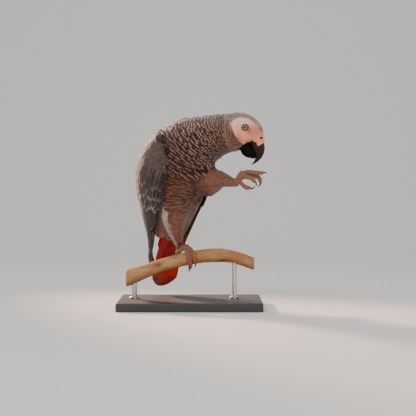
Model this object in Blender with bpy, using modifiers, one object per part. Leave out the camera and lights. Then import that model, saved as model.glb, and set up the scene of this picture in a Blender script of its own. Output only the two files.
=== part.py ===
"""A life-size grey parrot standing on one leg on a cut branch, the other foot lifted to its bill.

Metres, +Z up. The origin is the middle of the display stand's underside, X runs along the
branch and -Y is the side that the bird's breast faces. Every named part is one closed solid,
and neighbouring solids keep GAP between them.

A row of sizes describes one cross-section:
(x, y, z, yaw, half width, depth above, depth below), lengths in metres and yaw in degrees.
Its centre is x, y, z. Its width lies level along (sin yaw, cos yaw, 0), which on the body is
the bird's left. "Above" is the side of the back, of the bill's ridge or of a toe's top.
"""

import math

import bmesh
import bpy
from mathutils import Vector

GAP = 0.0003  # clear space kept between neighbouring solids

# Display stand and branch.
BASE_SIZE = (0.200, 0.140, 0.012)
BASE_ROUNDING = 0.004
ROD_RADIUS = 0.0035
ROD_SEAT = 0.006  # how far a rod goes into the base and into the branch
RODS = {"stand_rod_left": -0.078, "stand_rod_right": 0.062}
PERCH_ROWS = [
    (-0.0896, 0.0010, 0.0412, 0.0128),
    (-0.0770, 0.0015, 0.0448, 0.0122),
    (-0.0630, 0.0010, 0.0503, 0.0108),
    (-0.0462, 0.0000, 0.0566, 0.0102),
    (-0.0280, 0.0000, 0.0622, 0.0098),
    (-0.0070, 0.0000, 0.0678, 0.0100),
    (0.0140, 0.0000, 0.0713, 0.0098),
    (0.0308, 0.0005, 0.0727, 0.0101),
    (0.0490, 0.0005, 0.0727, 0.0098),
    (0.0672, 0.0000, 0.0692, 0.0094),
    (0.0900, -0.0010, 0.0608, 0.0093),
]

# The spine from inside the tail to the face. The wings hug the same ovals.
SPINE = [
    (-0.0368, 0.0630, 0.0509, 57, 0.0215, 0.0075, 0.0070),
    (-0.0352, 0.0580, 0.0715, 57, 0.0228, 0.0095, 0.0090),
    (-0.0325, 0.0530, 0.0906, 57, 0.0246, 0.0120, 0.0120),
    (-0.0298, 0.0490, 0.1080, 57, 0.0300, 0.0190, 0.0200),
    (-0.0274, 0.0440, 0.1283, 57, 0.0360, 0.0290, 0.0300),
    (-0.0246, 0.0370, 0.1514, 57, 0.0436, 0.0386, 0.0380),
    (-0.0220, 0.0300, 0.1742, 57, 0.0483, 0.0438, 0.0440),
    (-0.0184, 0.0230, 0.1969, 57, 0.0496, 0.0462, 0.0460),
    (-0.0105, 0.0130, 0.2165, 54, 0.0465, 0.0446, 0.0440),
    (0.0032, -0.0010, 0.2288, 46, 0.0405, 0.0395, 0.0410),
    (0.0208, -0.0140, 0.2360, 34, 0.0335, 0.0325, 0.0370),
    (0.0373, -0.0240, 0.2411, 22, 0.0280, 0.0285, 0.0320),
    (0.0509, -0.0310, 0.2436, 14, 0.0250, 0.0268, 0.0290),
    (0.0630, -0.0360, 0.2452, 8, 0.0230, 0.0258, 0.0280),
    (0.0739, -0.0390, 0.2460, 5, 0.0208, 0.0242, 0.0250),
    (0.0834, -0.0405, 0.2445, 5, 0.0178, 0.0194, 0.0190),
    (0.0905, -0.0410, 0.2405, 5, 0.0135, 0.0140, 0.0130),
    (0.0955, -0.0412, 0.2360, 5, 0.0085, 0.0085, 0.0075),
]
BODY_SIDES = 20
VENT = 2.6  # places along the spine, counted in rows
FACE = 17.0
BODY_PARTS = {
    "belly": (VENT, 7.4, 7),
    "breast": (7.4, 9.6, 5),
    "neck": (9.6, 12.6, 5),
    "head": (12.6, FACE, 8),
}
VENT_ROUNDING = 0.010
FACE_ROUNDING = 0.004

# Folded wings: (place on the spine, front edge, rear edge, thickness). Edges are angles in
# degrees round the body's oval, from its side (0) towards its back (90).
WING_ROWS = [
    (8.70, -6, 24, 0.0014),
    (8.50, -22, 40, 0.0036),
    (8.10, -36, 54, 0.0062),
    (7.20, -44, 68, 0.0088),
    (6.20, -45, 76, 0.0094),
    (5.20, -41, 80, 0.0088),
    (4.20, -34, 83, 0.0080),
    (3.20, -28, 85, 0.0070),
    (2.30, -22, 86, 0.0056),
    (1.50, -14, 86, 0.0044),
    (0.80, 4, 86, 0.0032),
    (0.30, 32, 85, 0.0022),
    (0.06, 62, 83, 0.0014),
]
WING_CLEAR = 0.0012
LEFT_WING_BACK = 9  # degrees by which the raised leg pushes the left wing's front edge back
WING_COVERTS_END = 5.4  # counted in wing rows
WING_ARC_POINTS = 9

# The tail: a flat fan of rounded feathers, slightly arched.
TAIL_ROOT = (-0.0262, 0.0468, 0.1150)
TAIL_TIP = (-0.0436, 0.0685, 0.0240)
TAIL_YAW = 57
TAIL_HALF_WIDTHS = (0.0090, 0.0140, 0.0180, 0.0215, 0.0225)
TAIL_ARCH = 0.0040
TAIL_THICKNESS = (0.0046, 0.0040, 0.0034, 0.0026, 0.0016)
TAIL_ROUNDING = 0.014  # how much shorter the outer feathers are
TAIL_NOTCH = 0.0016
TAIL_COLUMNS = 11

UNDERTAIL = [
    (-0.0262, 0.0430, 0.1120, 57, 0.0110, 0.0060, 0.0080),
    (-0.0290, 0.0475, 0.0950, 57, 0.0135, 0.0050, 0.0090),
    (-0.0312, 0.0508, 0.0800, 57, 0.0130, 0.0040, 0.0080),
    (-0.0334, 0.0545, 0.0660, 57, 0.0110, 0.0030, 0.0060),
    (-0.0356, 0.0585, 0.0540, 57, 0.0070, 0.0020, 0.0034),
]

THIGH_RIGHT = [
    (-0.0311, 0.0180, 0.1615, 57, 0.0100, 0.0090, 0.0090),
    (-0.0270, 0.0120, 0.1500, 57, 0.0150, 0.0140, 0.0150),
    (-0.0242, 0.0100, 0.1350, 57, 0.0165, 0.0160, 0.0170),
    (-0.0228, 0.0115, 0.1200, 57, 0.0158, 0.0150, 0.0160),
    (-0.0205, 0.0140, 0.1060, 57, 0.0130, 0.0130, 0.0130),
    (-0.0180, 0.0165, 0.0940, 57, 0.0086, 0.0090, 0.0090),
    (-0.0162, 0.0180, 0.0855, 57, 0.0050, 0.0054, 0.0056),
]
THIGH_LEFT = [
    (0.0057, 0.0160, 0.1771, 30, 0.0120, 0.0110, 0.0110),
    (0.0150, 0.0030, 0.1790, 35, 0.0175, 0.0180, 0.0240),
    (0.0260, -0.0060, 0.1805, 38, 0.0178, 0.0175, 0.0262),
    (0.0345, -0.0130, 0.1803, 40, 0.0160, 0.0155, 0.0238),
    (0.0415, -0.0185, 0.1800, 40, 0.0138, 0.0130, 0.0142),
    (0.0503, -0.0260, 0.1775, 42, 0.0098, 0.0094, 0.0098),
    (0.0580, -0.0330, 0.1752, 42, 0.0072, 0.0072, 0.0074),
    (0.0615, -0.0360, 0.1742, 42, 0.0056, 0.0058, 0.0060),
]
SHANK_RIGHT = [
    (-0.0176, 0.0205, 0.0800, 57, 0.0034, 0.0030, 0.0030),
    (-0.0162, 0.0180, 0.0800, 57, 0.0044, 0.0040, 0.0038),
    (-0.0134, 0.0130, 0.0812, 57, 0.0036, 0.0036, 0.0032),
    (-0.0098, 0.0060, 0.0832, 57, 0.0036, 0.0036, 0.0034),
    (-0.0068, 0.0005, 0.0843, 57, 0.0050, 0.0044, 0.0044),
    (-0.0046, -0.0035, 0.0845, 57, 0.0054, 0.0040, 0.0050),
]
SHANK_LEFT = [
    (0.0612, -0.0362, 0.1722, 10, 0.0036, 0.0036, 0.0036),
    (0.0632, -0.0378, 0.1742, 10, 0.0048, 0.0050, 0.0050),
    (0.0667, -0.0410, 0.1789, 10, 0.0042, 0.0044, 0.0044),
    (0.0696, -0.0442, 0.1826, 10, 0.0046, 0.0054, 0.0054),
    (0.0730, -0.0468, 0.1856, 10, 0.0050, 0.0062, 0.0062),
    (0.0752, -0.0478, 0.1870, 10, 0.0040, 0.0046, 0.0046),
]
SHANK_SIDES = 9

# Toes: (x, y, z, radius), then claws. The second value is the yaw of their width.
TOES = {
    "toe_right_3": (
        90,
        [
            (-0.0054, -0.0028, 0.0846, 0.0026),
            (-0.0046, -0.0075, 0.0822, 0.0033),
            (-0.0026, -0.0122, 0.0757, 0.0031),
            (-0.0004, -0.0139, 0.0675, 0.0033),
            (0.0005, -0.0123, 0.0603, 0.0031),
            (0.0004, -0.0098, 0.0560, 0.0027),
        ],
        [
            (0.0002, -0.0095, 0.0562, 0.0015),
            (-0.0008, -0.0066, 0.0525, 0.0013),
            (-0.0024, -0.0034, 0.0508, 0.0006),
        ],
    ),
    "toe_right_2": (
        90,
        [
            (-0.0034, -0.0026, 0.0842, 0.0024),
            (0.0020, -0.0076, 0.0812, 0.0030),
            (0.0046, -0.0123, 0.0745, 0.0028),
            (0.0069, -0.0133, 0.0680, 0.0030),
            (0.0077, -0.0122, 0.0636, 0.0026),
        ],
        [
            (0.0077, -0.0118, 0.0636, 0.0014),
            (0.0082, -0.0098, 0.0595, 0.0012),
            (0.0062, -0.0072, 0.0574, 0.0006),
        ],
    ),
    "toe_right_4": (
        90,
        [
            (-0.0066, -0.0006, 0.0838, 0.0024),
            (-0.0150, 0.0002, 0.0795, 0.0027),
            (-0.0184, 0.0090, 0.0748, 0.0028),
            (-0.0182, 0.0134, 0.0668, 0.0029),
            (-0.0182, 0.0124, 0.0605, 0.0027),
        ],
        [
            (-0.0182, 0.0122, 0.0610, 0.0014),
            (-0.0180, 0.0098, 0.0562, 0.0012),
            (-0.0172, 0.0060, 0.0540, 0.0006),
        ],
    ),
    "toe_right_1": (
        90,
        [
            (-0.0044, -0.0010, 0.0838, 0.0022),
            (0.0012, 0.0062, 0.0812, 0.0026),
            (0.0026, 0.0122, 0.0752, 0.0026),
            (0.0030, 0.0138, 0.0694, 0.0024),
        ],
        [
            (0.0030, 0.0136, 0.0698, 0.0013),
            (0.0030, 0.0124, 0.0640, 0.0011),
            (0.0026, 0.0098, 0.0600, 0.0005),
        ],
    ),
    "toe_left_3": (
        0,
        [
            (0.0728, -0.0474, 0.1870, 0.0026),
            (0.0780, -0.0496, 0.1889, 0.0032),
            (0.0830, -0.0505, 0.1887, 0.0031),
            (0.0883, -0.0510, 0.1882, 0.0030),
            (0.0950, -0.0515, 0.1877, 0.0028),
            (0.0990, -0.0515, 0.1878, 0.0024),
        ],
        [
            (0.0984, -0.0515, 0.1882, 0.0014),
            (0.1020, -0.0515, 0.1886, 0.0012),
            (0.1048, -0.0515, 0.1871, 0.0006),
        ],
    ),
    "toe_left_2": (
        0,
        [
            (0.0722, -0.0478, 0.1846, 0.0026),
            (0.0772, -0.0520, 0.1820, 0.0031),
            (0.0815, -0.0545, 0.1817, 0.0031),
            (0.0855, -0.0555, 0.1797, 0.0030),
            (0.0880, -0.0552, 0.1758, 0.0026),
        ],
        [
            (0.0879, -0.0552, 0.1766, 0.0014),
            (0.0907, -0.0548, 0.1736, 0.0012),
            (0.0902, -0.0542, 0.1702, 0.0006),
        ],
    ),
    "toe_left_4": (
        0,
        [
            (0.0730, -0.0462, 0.1856, 0.0024),
            (0.0795, -0.0440, 0.1852, 0.0030),
            (0.0860, -0.0444, 0.1847, 0.0029),
            (0.0915, -0.0450, 0.1832, 0.0029),
            (0.0956, -0.0455, 0.1800, 0.0029),
            (0.0966, -0.0457, 0.1762, 0.0026),
        ],
        [
            (0.0965, -0.0456, 0.1768, 0.0014),
            (0.0966, -0.0462, 0.1718, 0.0012),
            (0.0924, -0.0470, 0.1696, 0.0006),
        ],
    ),
    "toe_left_1": (
        0,
        [
            (0.0680, -0.0424, 0.1800, 0.0020),
            (0.0690, -0.0452, 0.1760, 0.0025),
            (0.0714, -0.0480, 0.1724, 0.0026),
            (0.0761, -0.0500, 0.1684, 0.0032),
            (0.0816, -0.0505, 0.1674, 0.0028),
        ],
        [
            (0.0810, -0.0505, 0.1672, 0.0014),
            (0.0864, -0.0502, 0.1663, 0.0012),
            (0.0891, -0.0500, 0.1702, 0.0006),
        ],
    ),
}
TOE_SIDES = 7
CLAW_SIDES = 6

LEG_RING_CENTRE = (-0.0106, 0.0078, 0.0840)
LEG_RING_AXIS = (0.45, -0.87, 0.18)
LEG_RING_RADII = (0.0054, 0.0065)
LEG_RING_HEIGHT = 0.0035

BILL_UPPER = [
    (0.0890, -0.0410, 0.2385, 5, 0.0060, 0.0060, 0.0060),
    (0.0915, -0.0412, 0.2322, 5, 0.0080, 0.0090, 0.0090),
    (0.0942, -0.0414, 0.2240, 5, 0.0082, 0.0088, 0.0088),
    (0.0948, -0.0415, 0.2172, 5, 0.0070, 0.0076, 0.0074),
    (0.0942, -0.0415, 0.2114, 5, 0.0050, 0.0056, 0.0050),
    (0.0924, -0.0414, 0.2068, 5, 0.0032, 0.0034, 0.0030),
    (0.0893, -0.0412, 0.2026, 5, 0.0018, 0.0019, 0.0017),
    (0.0845, -0.0409, 0.1992, 5, 0.0006, 0.0006, 0.0006),
]
BILL_LOWER = [
    (0.0720, -0.0399, 0.2262, 5, 0.0064, 0.0056, 0.0060),
    (0.0755, -0.0401, 0.2232, 5, 0.0078, 0.0108, 0.0084),
    (0.0800, -0.0405, 0.2182, 5, 0.0078, 0.0104, 0.0094),
    (0.0846, -0.0409, 0.2142, 5, 0.0064, 0.0084, 0.0078),
    (0.0882, -0.0411, 0.2103, 5, 0.0038, 0.0042, 0.0042),
    (0.0904, -0.0412, 0.2080, 5, 0.0014, 0.0012, 0.0012),
]
BILL_SIDES = 12

EYE_RADIUS = 0.0052
EYE_RIGHT = (0.0758, -0.0556, 0.2492)
NOSTRIL_RADIUS = 0.0013
NOSTRIL_RIGHT = (0.0962, -0.0470, 0.2362)


def clear_scene():
    for obj in list(bpy.data.objects):
        bpy.data.objects.remove(obj)


def new_collection(name):
    made = bpy.data.collections.new(name)
    bpy.context.scene.collection.children.link(made)
    return made


def new_material(name, colour, roughness, metallic=0.0):
    made = bpy.data.materials.new(name)
    made.use_nodes = True
    shader = made.node_tree.nodes["Principled BSDF"]
    shader.inputs["Base Color"].default_value = (*colour, 1)
    shader.inputs["Roughness"].default_value = roughness
    shader.inputs["Metallic"].default_value = metallic
    return made


def spline(rows, at):
    """The rows' smooth interpolation (Catmull-Rom) at a place counted in rows."""
    last = len(rows) - 1
    index = min(int(max(at, 0.0)), last - 1)
    t = at - index
    before = rows[max(index - 1, 0)]
    a = rows[index]
    b = rows[index + 1]
    after = rows[min(index + 2, last)]
    return [
        q + 0.5 * t * (r - p + t * (2 * p - 5 * q + 4 * r - s + t * (3 * (q - r) + s - p)))
        for p, q, r, s in zip(before, a, b, after)
    ]


def spread(start, end, count):
    return [start + (end - start) * i / (count - 1) for i in range(count)]


def frame_at(rows, at):
    """(centre, direction, left, above) of a path of rows at a place counted in rows."""
    step = 0.02
    last = len(rows) - 1
    centre = Vector(spline(rows, at)[:3])
    ahead = Vector(spline(rows, min(at + step, last))[:3])
    behind = Vector(spline(rows, max(at - step, 0))[:3])
    direction = (ahead - behind).normalized()
    yaw = math.radians(spline(rows, at)[3])
    left = Vector((math.sin(yaw), math.cos(yaw), 0))
    left = (left - direction * left.dot(direction)).normalized()
    return centre, direction, left, direction.cross(left)


def spacing_at(rows, at):
    """Length of path for each row at a place counted in rows."""
    step = 0.05
    a = Vector(spline(rows, at - step)[:3])
    b = Vector(spline(rows, at + step)[:3])
    return (b - a).length / (2 * step)


def oval_point(rows, at, turn, grow=0.0, scale=1.0, ahead=0.0):
    """A point on the cross-section at a place: turn 0 is the left, 90 degrees the upper side."""
    centre, direction, left, above = frame_at(rows, at)
    width, upper, lower = spline(rows, at)[4:]
    depth = upper if math.sin(turn) > 0 else lower
    return (
        centre
        + direction * ahead
        + left * (width * scale + grow) * math.cos(turn)
        + above * (depth * scale + grow) * math.sin(turn)
    )


def oval(rows, at, sides, grow=0.0, scale=1.0, ahead=0.0):
    turns = [2 * math.pi * i / sides for i in range(sides)]
    return [oval_point(rows, at, turn, grow, scale, ahead) for turn in turns]


def oval_rings(rows, sides, count, grow=0.0, start=0.0, end=None, start_round=0.0, end_round=0.0):
    """Rings along a path. A rounded end adds shrinking rings beyond it; a flat end has none."""
    end = len(rows) - 1.0 if end is None else end
    rings = [oval(rows, at, sides, grow) for at in spread(start, end, count)]
    for at, way, reach in ((start, -1, start_round), (end, 1, end_round)):
        if reach:
            caps = [
                oval(
                    rows,
                    at,
                    sides,
                    grow * math.cos(math.radians(angle)),
                    math.cos(math.radians(angle)),
                    way * (reach + grow) * math.sin(math.radians(angle)),
                )
                for angle in (40, 72)
            ]
        elif grow:
            caps = [oval(rows, at, sides, grow, 1.0, way * grow)]
        else:
            continue
        rings = caps[::-1] + rings if way < 0 else rings + caps
    return rings


def add_object(name, mesh, group, finish):
    obj = bpy.data.objects.new(name, mesh)
    group.objects.link(obj)
    if finish:
        obj.data.materials.append(finish)
    obj.data.shade_smooth()
    return obj


def loft(name, rings, group, finish=None, flat=False):
    """A closed solid through rings of points.

    An end is filled from its middle, or, on a flat section whose ring goes out along one side
    and back along the other, straight across from side to side.
    """
    bm = bmesh.new()
    rows = [[bm.verts.new(point) for point in ring] for ring in rings]
    count = len(rows[0])
    for low, high in zip(rows, rows[1:]):
        for i in range(count):
            j = (i + 1) % count
            bm.faces.new((low[i], low[j], high[j], high[i]))
    for row in (rows[0], rows[-1]):
        if flat:
            for i in range(count // 2 - 1):
                bm.faces.new((row[i], row[i + 1], row[count - 2 - i], row[count - 1 - i]))
            continue
        middle = bm.verts.new(sum((v.co for v in row), Vector()) / count)
        for i in range(count):
            bm.faces.new((row[i], middle, row[(i + 1) % count]))
    bmesh.ops.recalc_face_normals(bm, faces=bm.faces)
    bmesh.ops.triangulate(bm, faces=bm.faces)
    mesh = bpy.data.meshes.new(name)
    bm.to_mesh(mesh)
    bm.free()
    return add_object(name, mesh, group, finish)


def ball(name, centre, radius, group, finish=None, rings=7, sides=12):
    bm = bmesh.new()
    bmesh.ops.create_uvsphere(bm, u_segments=sides, v_segments=rings, radius=radius)
    bmesh.ops.translate(bm, verts=bm.verts, vec=Vector(centre))
    mesh = bpy.data.meshes.new(name)
    bm.to_mesh(mesh)
    bm.free()
    return add_object(name, mesh, group, finish)


class Workshop:
    """The scene's two collections, its materials, and the ways to add and carve solids."""

    def __init__(self):
        self.parts = new_collection("grey_parrot")
        self.cutters = new_collection("cutters")
        self.cutters.hide_render = True
        self.plumage = new_material("plumage", (0.16, 0.12, 0.10), 0.85)
        self.tail_red = new_material("tail_red", (0.42, 0.03, 0.01), 0.8)
        self.skin = new_material("foot_skin", (0.30, 0.18, 0.13), 0.7)
        self.horn = new_material("black_horn", (0.015, 0.012, 0.010), 0.35)
        self.eye = new_material("eye", (0.50, 0.42, 0.25), 0.08)
        self.wood = new_material("bare_wood", (0.45, 0.28, 0.14), 0.6)
        self.steel = new_material("brushed_steel", (0.60, 0.60, 0.60), 0.35, 1.0)
        self.ring_metal = new_material("ring_metal", (0.08, 0.075, 0.07), 0.4, 1.0)
        self.base = new_material("base_board", (0.55, 0.53, 0.50), 0.6)

    def cutter(self, name, rings, flat=False):
        obj = loft(name, rings, self.cutters, flat=flat)
        obj.hide_render = True
        obj.display_type = "WIRE"
        return obj

    def ball_cutter(self, name, centre, radius, rings=7, sides=12):
        obj = ball(name, centre, radius, self.cutters, rings=rings, sides=sides)
        obj.hide_render = True
        obj.display_type = "WIRE"
        return obj

    def carve(self, target, cutter):
        cut = target.modifiers.new("carve_" + cutter.name, "BOOLEAN")
        cut.operation = "DIFFERENCE"
        cut.solver = "EXACT"
        cut.object = cutter

    def oval_part(self, name, finish, rows, sides, count, start_round, end_round):
        """A lofted part and the slightly larger cutter that makes room for it."""
        ends = {"start_round": start_round, "end_round": end_round}
        part = loft(name, oval_rings(rows, sides, count, **ends), self.parts, finish)
        room = self.cutter("room_" + name, oval_rings(rows, sides, count, grow=GAP, **ends))
        return part, room


def build_body(shop):
    made = {}
    for name, (start, end, count) in BODY_PARTS.items():
        low = start if start == VENT else start + GAP / 2 / spacing_at(SPINE, start)
        high = end if end == FACE else end - GAP / 2 / spacing_at(SPINE, end)
        rings = oval_rings(
            SPINE,
            BODY_SIDES,
            count,
            start=low,
            end=high,
            start_round=VENT_ROUNDING if start == VENT else 0.0,
            end_round=FACE_ROUNDING if end == FACE else 0.0,
        )
        made[name] = loft(name, rings, shop.parts, shop.plumage)
    return made


def wing_ring(side, at):
    """A crescent over the body's oval: out along its outer arc, back along its inner one."""
    place, front, rear, thickness = spline(WING_ROWS, at)
    if side == "left":
        front += LEFT_WING_BACK * (rear - front) / 120
    outer = []
    inner = []
    for s in spread(0, 1, WING_ARC_POINTS):
        angle = math.radians(front + (rear - front) * s)
        turn = math.pi - angle if side == "right" else angle
        swell = thickness * (0.18 + 0.82 * math.sin(math.pi * min(max(s, 0.02), 0.98)) ** 0.6)
        outer.append(oval_point(SPINE, place, turn, WING_CLEAR + swell))
        inner.append(oval_point(SPINE, place, turn, WING_CLEAR))
    return outer + inner[::-1]


def build_wings(shop):
    made = {}
    last = len(WING_ROWS) - 1.0
    cut = GAP / 2 / 0.018
    spans = {
        "wing_coverts": (0.0, WING_COVERTS_END - cut, 9),
        "wing_flight": (WING_COVERTS_END + cut, last, 8),
    }
    for side in ("right", "left"):
        for kind, (start, end, count) in spans.items():
            name = f"{kind}_{side}"
            rings = [wing_ring(side, at) for at in spread(start, end, count)]
            made[name] = loft(name, rings, shop.parts, shop.plumage, flat=True)
    return made


def tail_rings(grow=0.0):
    """Flat arched sections from the root to the rounded, notched ends of the feathers."""
    root = Vector(TAIL_ROOT)
    along = Vector(TAIL_TIP) - root
    way = along.normalized()
    yaw = math.radians(TAIL_YAW)
    left = Vector((math.sin(yaw), math.cos(yaw), 0))
    left = (left - way * left.dot(way)).normalized()
    above = (-way).cross(left)
    rings = []
    places = [0.0, 0.3, 0.6, 0.85, 1.0]
    if grow:
        places = [-grow / along.length] + places + [1.0 + grow / along.length]
    for place in places:
        at = min(max(place, 0.0), 1.0) * (len(TAIL_HALF_WIDTHS) - 1)
        half = spline([(w,) for w in TAIL_HALF_WIDTHS], at)[0] + grow
        thick = spline([(t,) for t in TAIL_THICKNESS], at)[0] / 2
        top = []
        bottom = []
        for s in spread(-1, 1, TAIL_COLUMNS):
            shorter = TAIL_ROUNDING * s**2.0 + TAIL_NOTCH * (1 - abs(math.cos(3 * math.pi * s)))
            length = along.length - shorter * min(max(place, 0.0), 1.0) ** 2
            point = root + way * length * place + left * half * s - above * TAIL_ARCH * s * s
            edge = thick * (1 - 0.55 * s * s) + grow * 1.2
            top.append(point + above * edge)
            bottom.append(point - above * edge)
        rings.append(top + bottom[::-1])
    return rings


def build_tail(shop, body):
    loft("tail", tail_rings(), shop.parts, shop.tail_red, flat=True)
    tail_room = shop.cutter("room_tail", tail_rings(GAP), flat=True)
    under, under_room = shop.oval_part(
        "undertail", shop.tail_red, UNDERTAIL, 12, 5, 0.001, 0.004
    )
    shop.carve(under, tail_room)
    shop.carve(body["belly"], tail_room)
    shop.carve(body["belly"], under_room)


def build_legs(shop, body):
    rows = {
        "right": (THIGH_RIGHT, SHANK_RIGHT),
        "left": (THIGH_LEFT, SHANK_LEFT),
    }
    for side, (thigh_rows, shank_rows) in rows.items():
        thigh, thigh_room = shop.oval_part(
            f"thigh_{side}", shop.plumage, thigh_rows, 14, 7, 0.006, 0.002
        )
        shank, shank_room = shop.oval_part(
            f"shank_{side}", shop.skin, shank_rows, SHANK_SIDES, 6, 0.0015, 0.002
        )
        shop.carve(thigh, shank_room)
        shop.carve(body["belly"], thigh_room)
        if side == "left":
            shop.carve(body["breast"], thigh_room)
            shop.carve(body["neck"], thigh_room)
        made = []
        for name, (yaw, toe_rows, claw_rows) in TOES.items():
            if side not in name:
                continue
            toe_rows = [(x, y, z, yaw, r, r, r) for x, y, z, r in toe_rows]
            claw_rows = [(x, y, z, yaw, r * 0.8, r * 1.2, r) for x, y, z, r in claw_rows]
            toe, toe_room = shop.oval_part(
                name, shop.skin, toe_rows, TOE_SIDES, len(toe_rows) + 1, 0.0, 0.0014
            )
            claw, claw_room = shop.oval_part(
                name.replace("toe", "claw"), shop.horn, claw_rows, CLAW_SIDES, 4, 0.0, 0.0
            )
            shop.carve(toe, shank_room)
            shop.carve(toe, claw_room)
            for other_room in made:
                shop.carve(toe, other_room)
            made.append(toe_room)


def ring_band(centre, axis, radii, height, grow=0.0):
    """Cross-sections of a plain round band, one after another round its axis."""
    axis = Vector(axis).normalized()
    across = axis.orthogonal().normalized()
    up = axis.cross(across)
    inner, outer = radii
    half = height / 2 + grow
    sections = []
    for i in range(20):
        turn = 2 * math.pi * i / 20
        out = across * math.cos(turn) + up * math.sin(turn)
        corners = (
            (inner - grow, -half),
            (outer + grow, -half),
            (outer + grow, half),
            (inner - grow, half),
        )
        sections.append([Vector(centre) + out * r + axis * h for r, h in corners])
    return sections


def build_leg_ring(shop):
    sections = ring_band(LEG_RING_CENTRE, LEG_RING_AXIS, LEG_RING_RADII, LEG_RING_HEIGHT)
    bm = bmesh.new()
    rows = [[bm.verts.new(point) for point in section] for section in sections]
    for low, high in zip(rows, rows[1:] + rows[:1]):
        for i in range(4):
            j = (i + 1) % 4
            bm.faces.new((low[i], low[j], high[j], high[i]))
    bmesh.ops.recalc_face_normals(bm, faces=bm.faces)
    mesh = bpy.data.meshes.new("leg_ring")
    bm.to_mesh(mesh)
    bm.free()
    return add_object("leg_ring", mesh, shop.parts, shop.ring_metal)


def build_face(shop, body):
    upper, upper_room = shop.oval_part(
        "bill_upper", shop.horn, BILL_UPPER, BILL_SIDES, 9, 0.002, 0.0004
    )
    lower, lower_room = shop.oval_part(
        "bill_lower", shop.horn, BILL_LOWER, BILL_SIDES, 7, 0.002, 0.0006
    )
    shop.carve(lower, upper_room)
    shop.carve(body["head"], upper_room)
    shop.carve(body["head"], lower_room)
    centre, _, left, _ = frame_at(SPINE, 14)
    for side in ("right", "left"):
        for name, place, radius in (
            ("eye", EYE_RIGHT, EYE_RADIUS),
            ("nostril", NOSTRIL_RIGHT, NOSTRIL_RADIUS),
        ):
            place = Vector(place)
            if side == "left":
                place = place - left * 2 * (place - centre).dot(left)
            if name == "eye":
                ball(f"eye_{side}", place, radius, shop.parts, shop.eye)
                room = shop.ball_cutter(f"room_eye_{side}", place, radius + GAP)
            else:
                room = shop.ball_cutter(f"room_nostril_{side}", place, radius, 4, 7)
            shop.carve(body["head"], room)


def build_stand(shop):
    rings = []
    sides = 14
    for at in spread(0, len(PERCH_ROWS) - 1, 15):
        x, y, z, radius = spline(PERCH_ROWS, at)
        turns = [2 * math.pi * i / sides for i in range(sides)]
        rings.append(
            [Vector((x, y + radius * math.cos(t), z + radius * math.sin(t))) for t in turns]
        )
    perch = loft("perch", rings, shop.parts, shop.wood)

    length, width, height = BASE_SIZE
    bm = bmesh.new()
    bmesh.ops.create_cube(bm, size=1.0)
    bmesh.ops.scale(bm, verts=bm.verts, vec=(length, width, height))
    bmesh.ops.translate(bm, verts=bm.verts, vec=(0, 0, height / 2))
    mesh = bpy.data.meshes.new("stand_base")
    bm.to_mesh(mesh)
    bm.free()
    base = add_object("stand_base", mesh, shop.parts, shop.base)
    base.data.shade_flat()
    rounding = base.modifiers.new("rounding", "BEVEL")
    rounding.width = BASE_ROUNDING
    rounding.segments = 2
    rounding.limit_method = "ANGLE"

    for name, x in RODS.items():
        at = min(range(200), key=lambda i: abs(spline(PERCH_ROWS, i / 20)[0] - x)) / 20
        _, y, z, radius = spline(PERCH_ROWS, at)
        bottom = height - ROD_SEAT
        top = z - radius + ROD_SEAT
        rows = [
            (x, y, h, 90, ROD_RADIUS, ROD_RADIUS, ROD_RADIUS) for h in (bottom, top)
        ]
        _, room = shop.oval_part(name, shop.steel, rows, 12, 2, 0.0, 0.0)
        shop.carve(perch, room)
        shop.carve(base, room)


def main():
    clear_scene()
    shop = Workshop()
    body = build_body(shop)
    build_wings(shop)
    build_tail(shop, body)
    build_legs(shop, body)
    build_leg_ring(shop)
    build_face(shop, body)
    build_stand(shop)


main()
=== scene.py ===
"""The looks of a life-size grey parrot on a cut branch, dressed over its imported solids.

Everything is in metres in the frame of the solids. One skin stands for the nodes of flesh, and
closed feather vanes lie over it in rows. Every vane follows a path of points on the surface that
it grows from, so feathers, coverts, flight feathers, tail feathers and leg scales share one
Geometry Nodes tree.
"""

from __future__ import annotations

import logging
import math
from collections.abc import Callable, Iterable, Iterator, Sequence
from contextlib import contextmanager
from dataclasses import dataclass, field
from enum import Enum
from itertools import product

import bmesh
import bpy
import numpy as np
from mathutils import Matrix, Vector
from mathutils.bvhtree import BVHTree

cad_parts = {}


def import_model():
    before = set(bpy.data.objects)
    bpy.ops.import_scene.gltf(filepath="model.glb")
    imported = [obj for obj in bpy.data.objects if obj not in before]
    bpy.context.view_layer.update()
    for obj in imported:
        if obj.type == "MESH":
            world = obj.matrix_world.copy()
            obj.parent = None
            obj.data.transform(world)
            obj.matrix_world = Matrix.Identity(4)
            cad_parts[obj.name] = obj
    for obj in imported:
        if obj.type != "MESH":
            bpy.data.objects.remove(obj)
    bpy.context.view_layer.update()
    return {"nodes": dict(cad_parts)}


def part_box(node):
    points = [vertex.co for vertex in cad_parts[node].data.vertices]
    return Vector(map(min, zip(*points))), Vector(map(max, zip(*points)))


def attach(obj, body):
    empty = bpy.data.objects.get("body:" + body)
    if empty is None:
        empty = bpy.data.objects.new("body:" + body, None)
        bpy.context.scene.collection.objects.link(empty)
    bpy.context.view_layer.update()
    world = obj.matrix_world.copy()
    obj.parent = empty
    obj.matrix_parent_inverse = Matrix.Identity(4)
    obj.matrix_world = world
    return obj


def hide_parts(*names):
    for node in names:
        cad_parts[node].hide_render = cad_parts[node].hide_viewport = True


LOG = logging.getLogger("grey_parrot")
MM = 0.001
UP = Vector((0, 0, 1))
BAKE_MAP = "OFBake"
BAKE_PATCH = 0.003
SIDES = ("right", "left")

Array = np.ndarray
Colour = tuple[float, float, float]
Material = bpy.types.Material
Mesh = bpy.types.Mesh
Piece = bpy.types.Object
Rows = Sequence[Sequence[float]]
Socket = bpy.types.NodeSocket
Shades = tuple[Array, Array]

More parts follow.
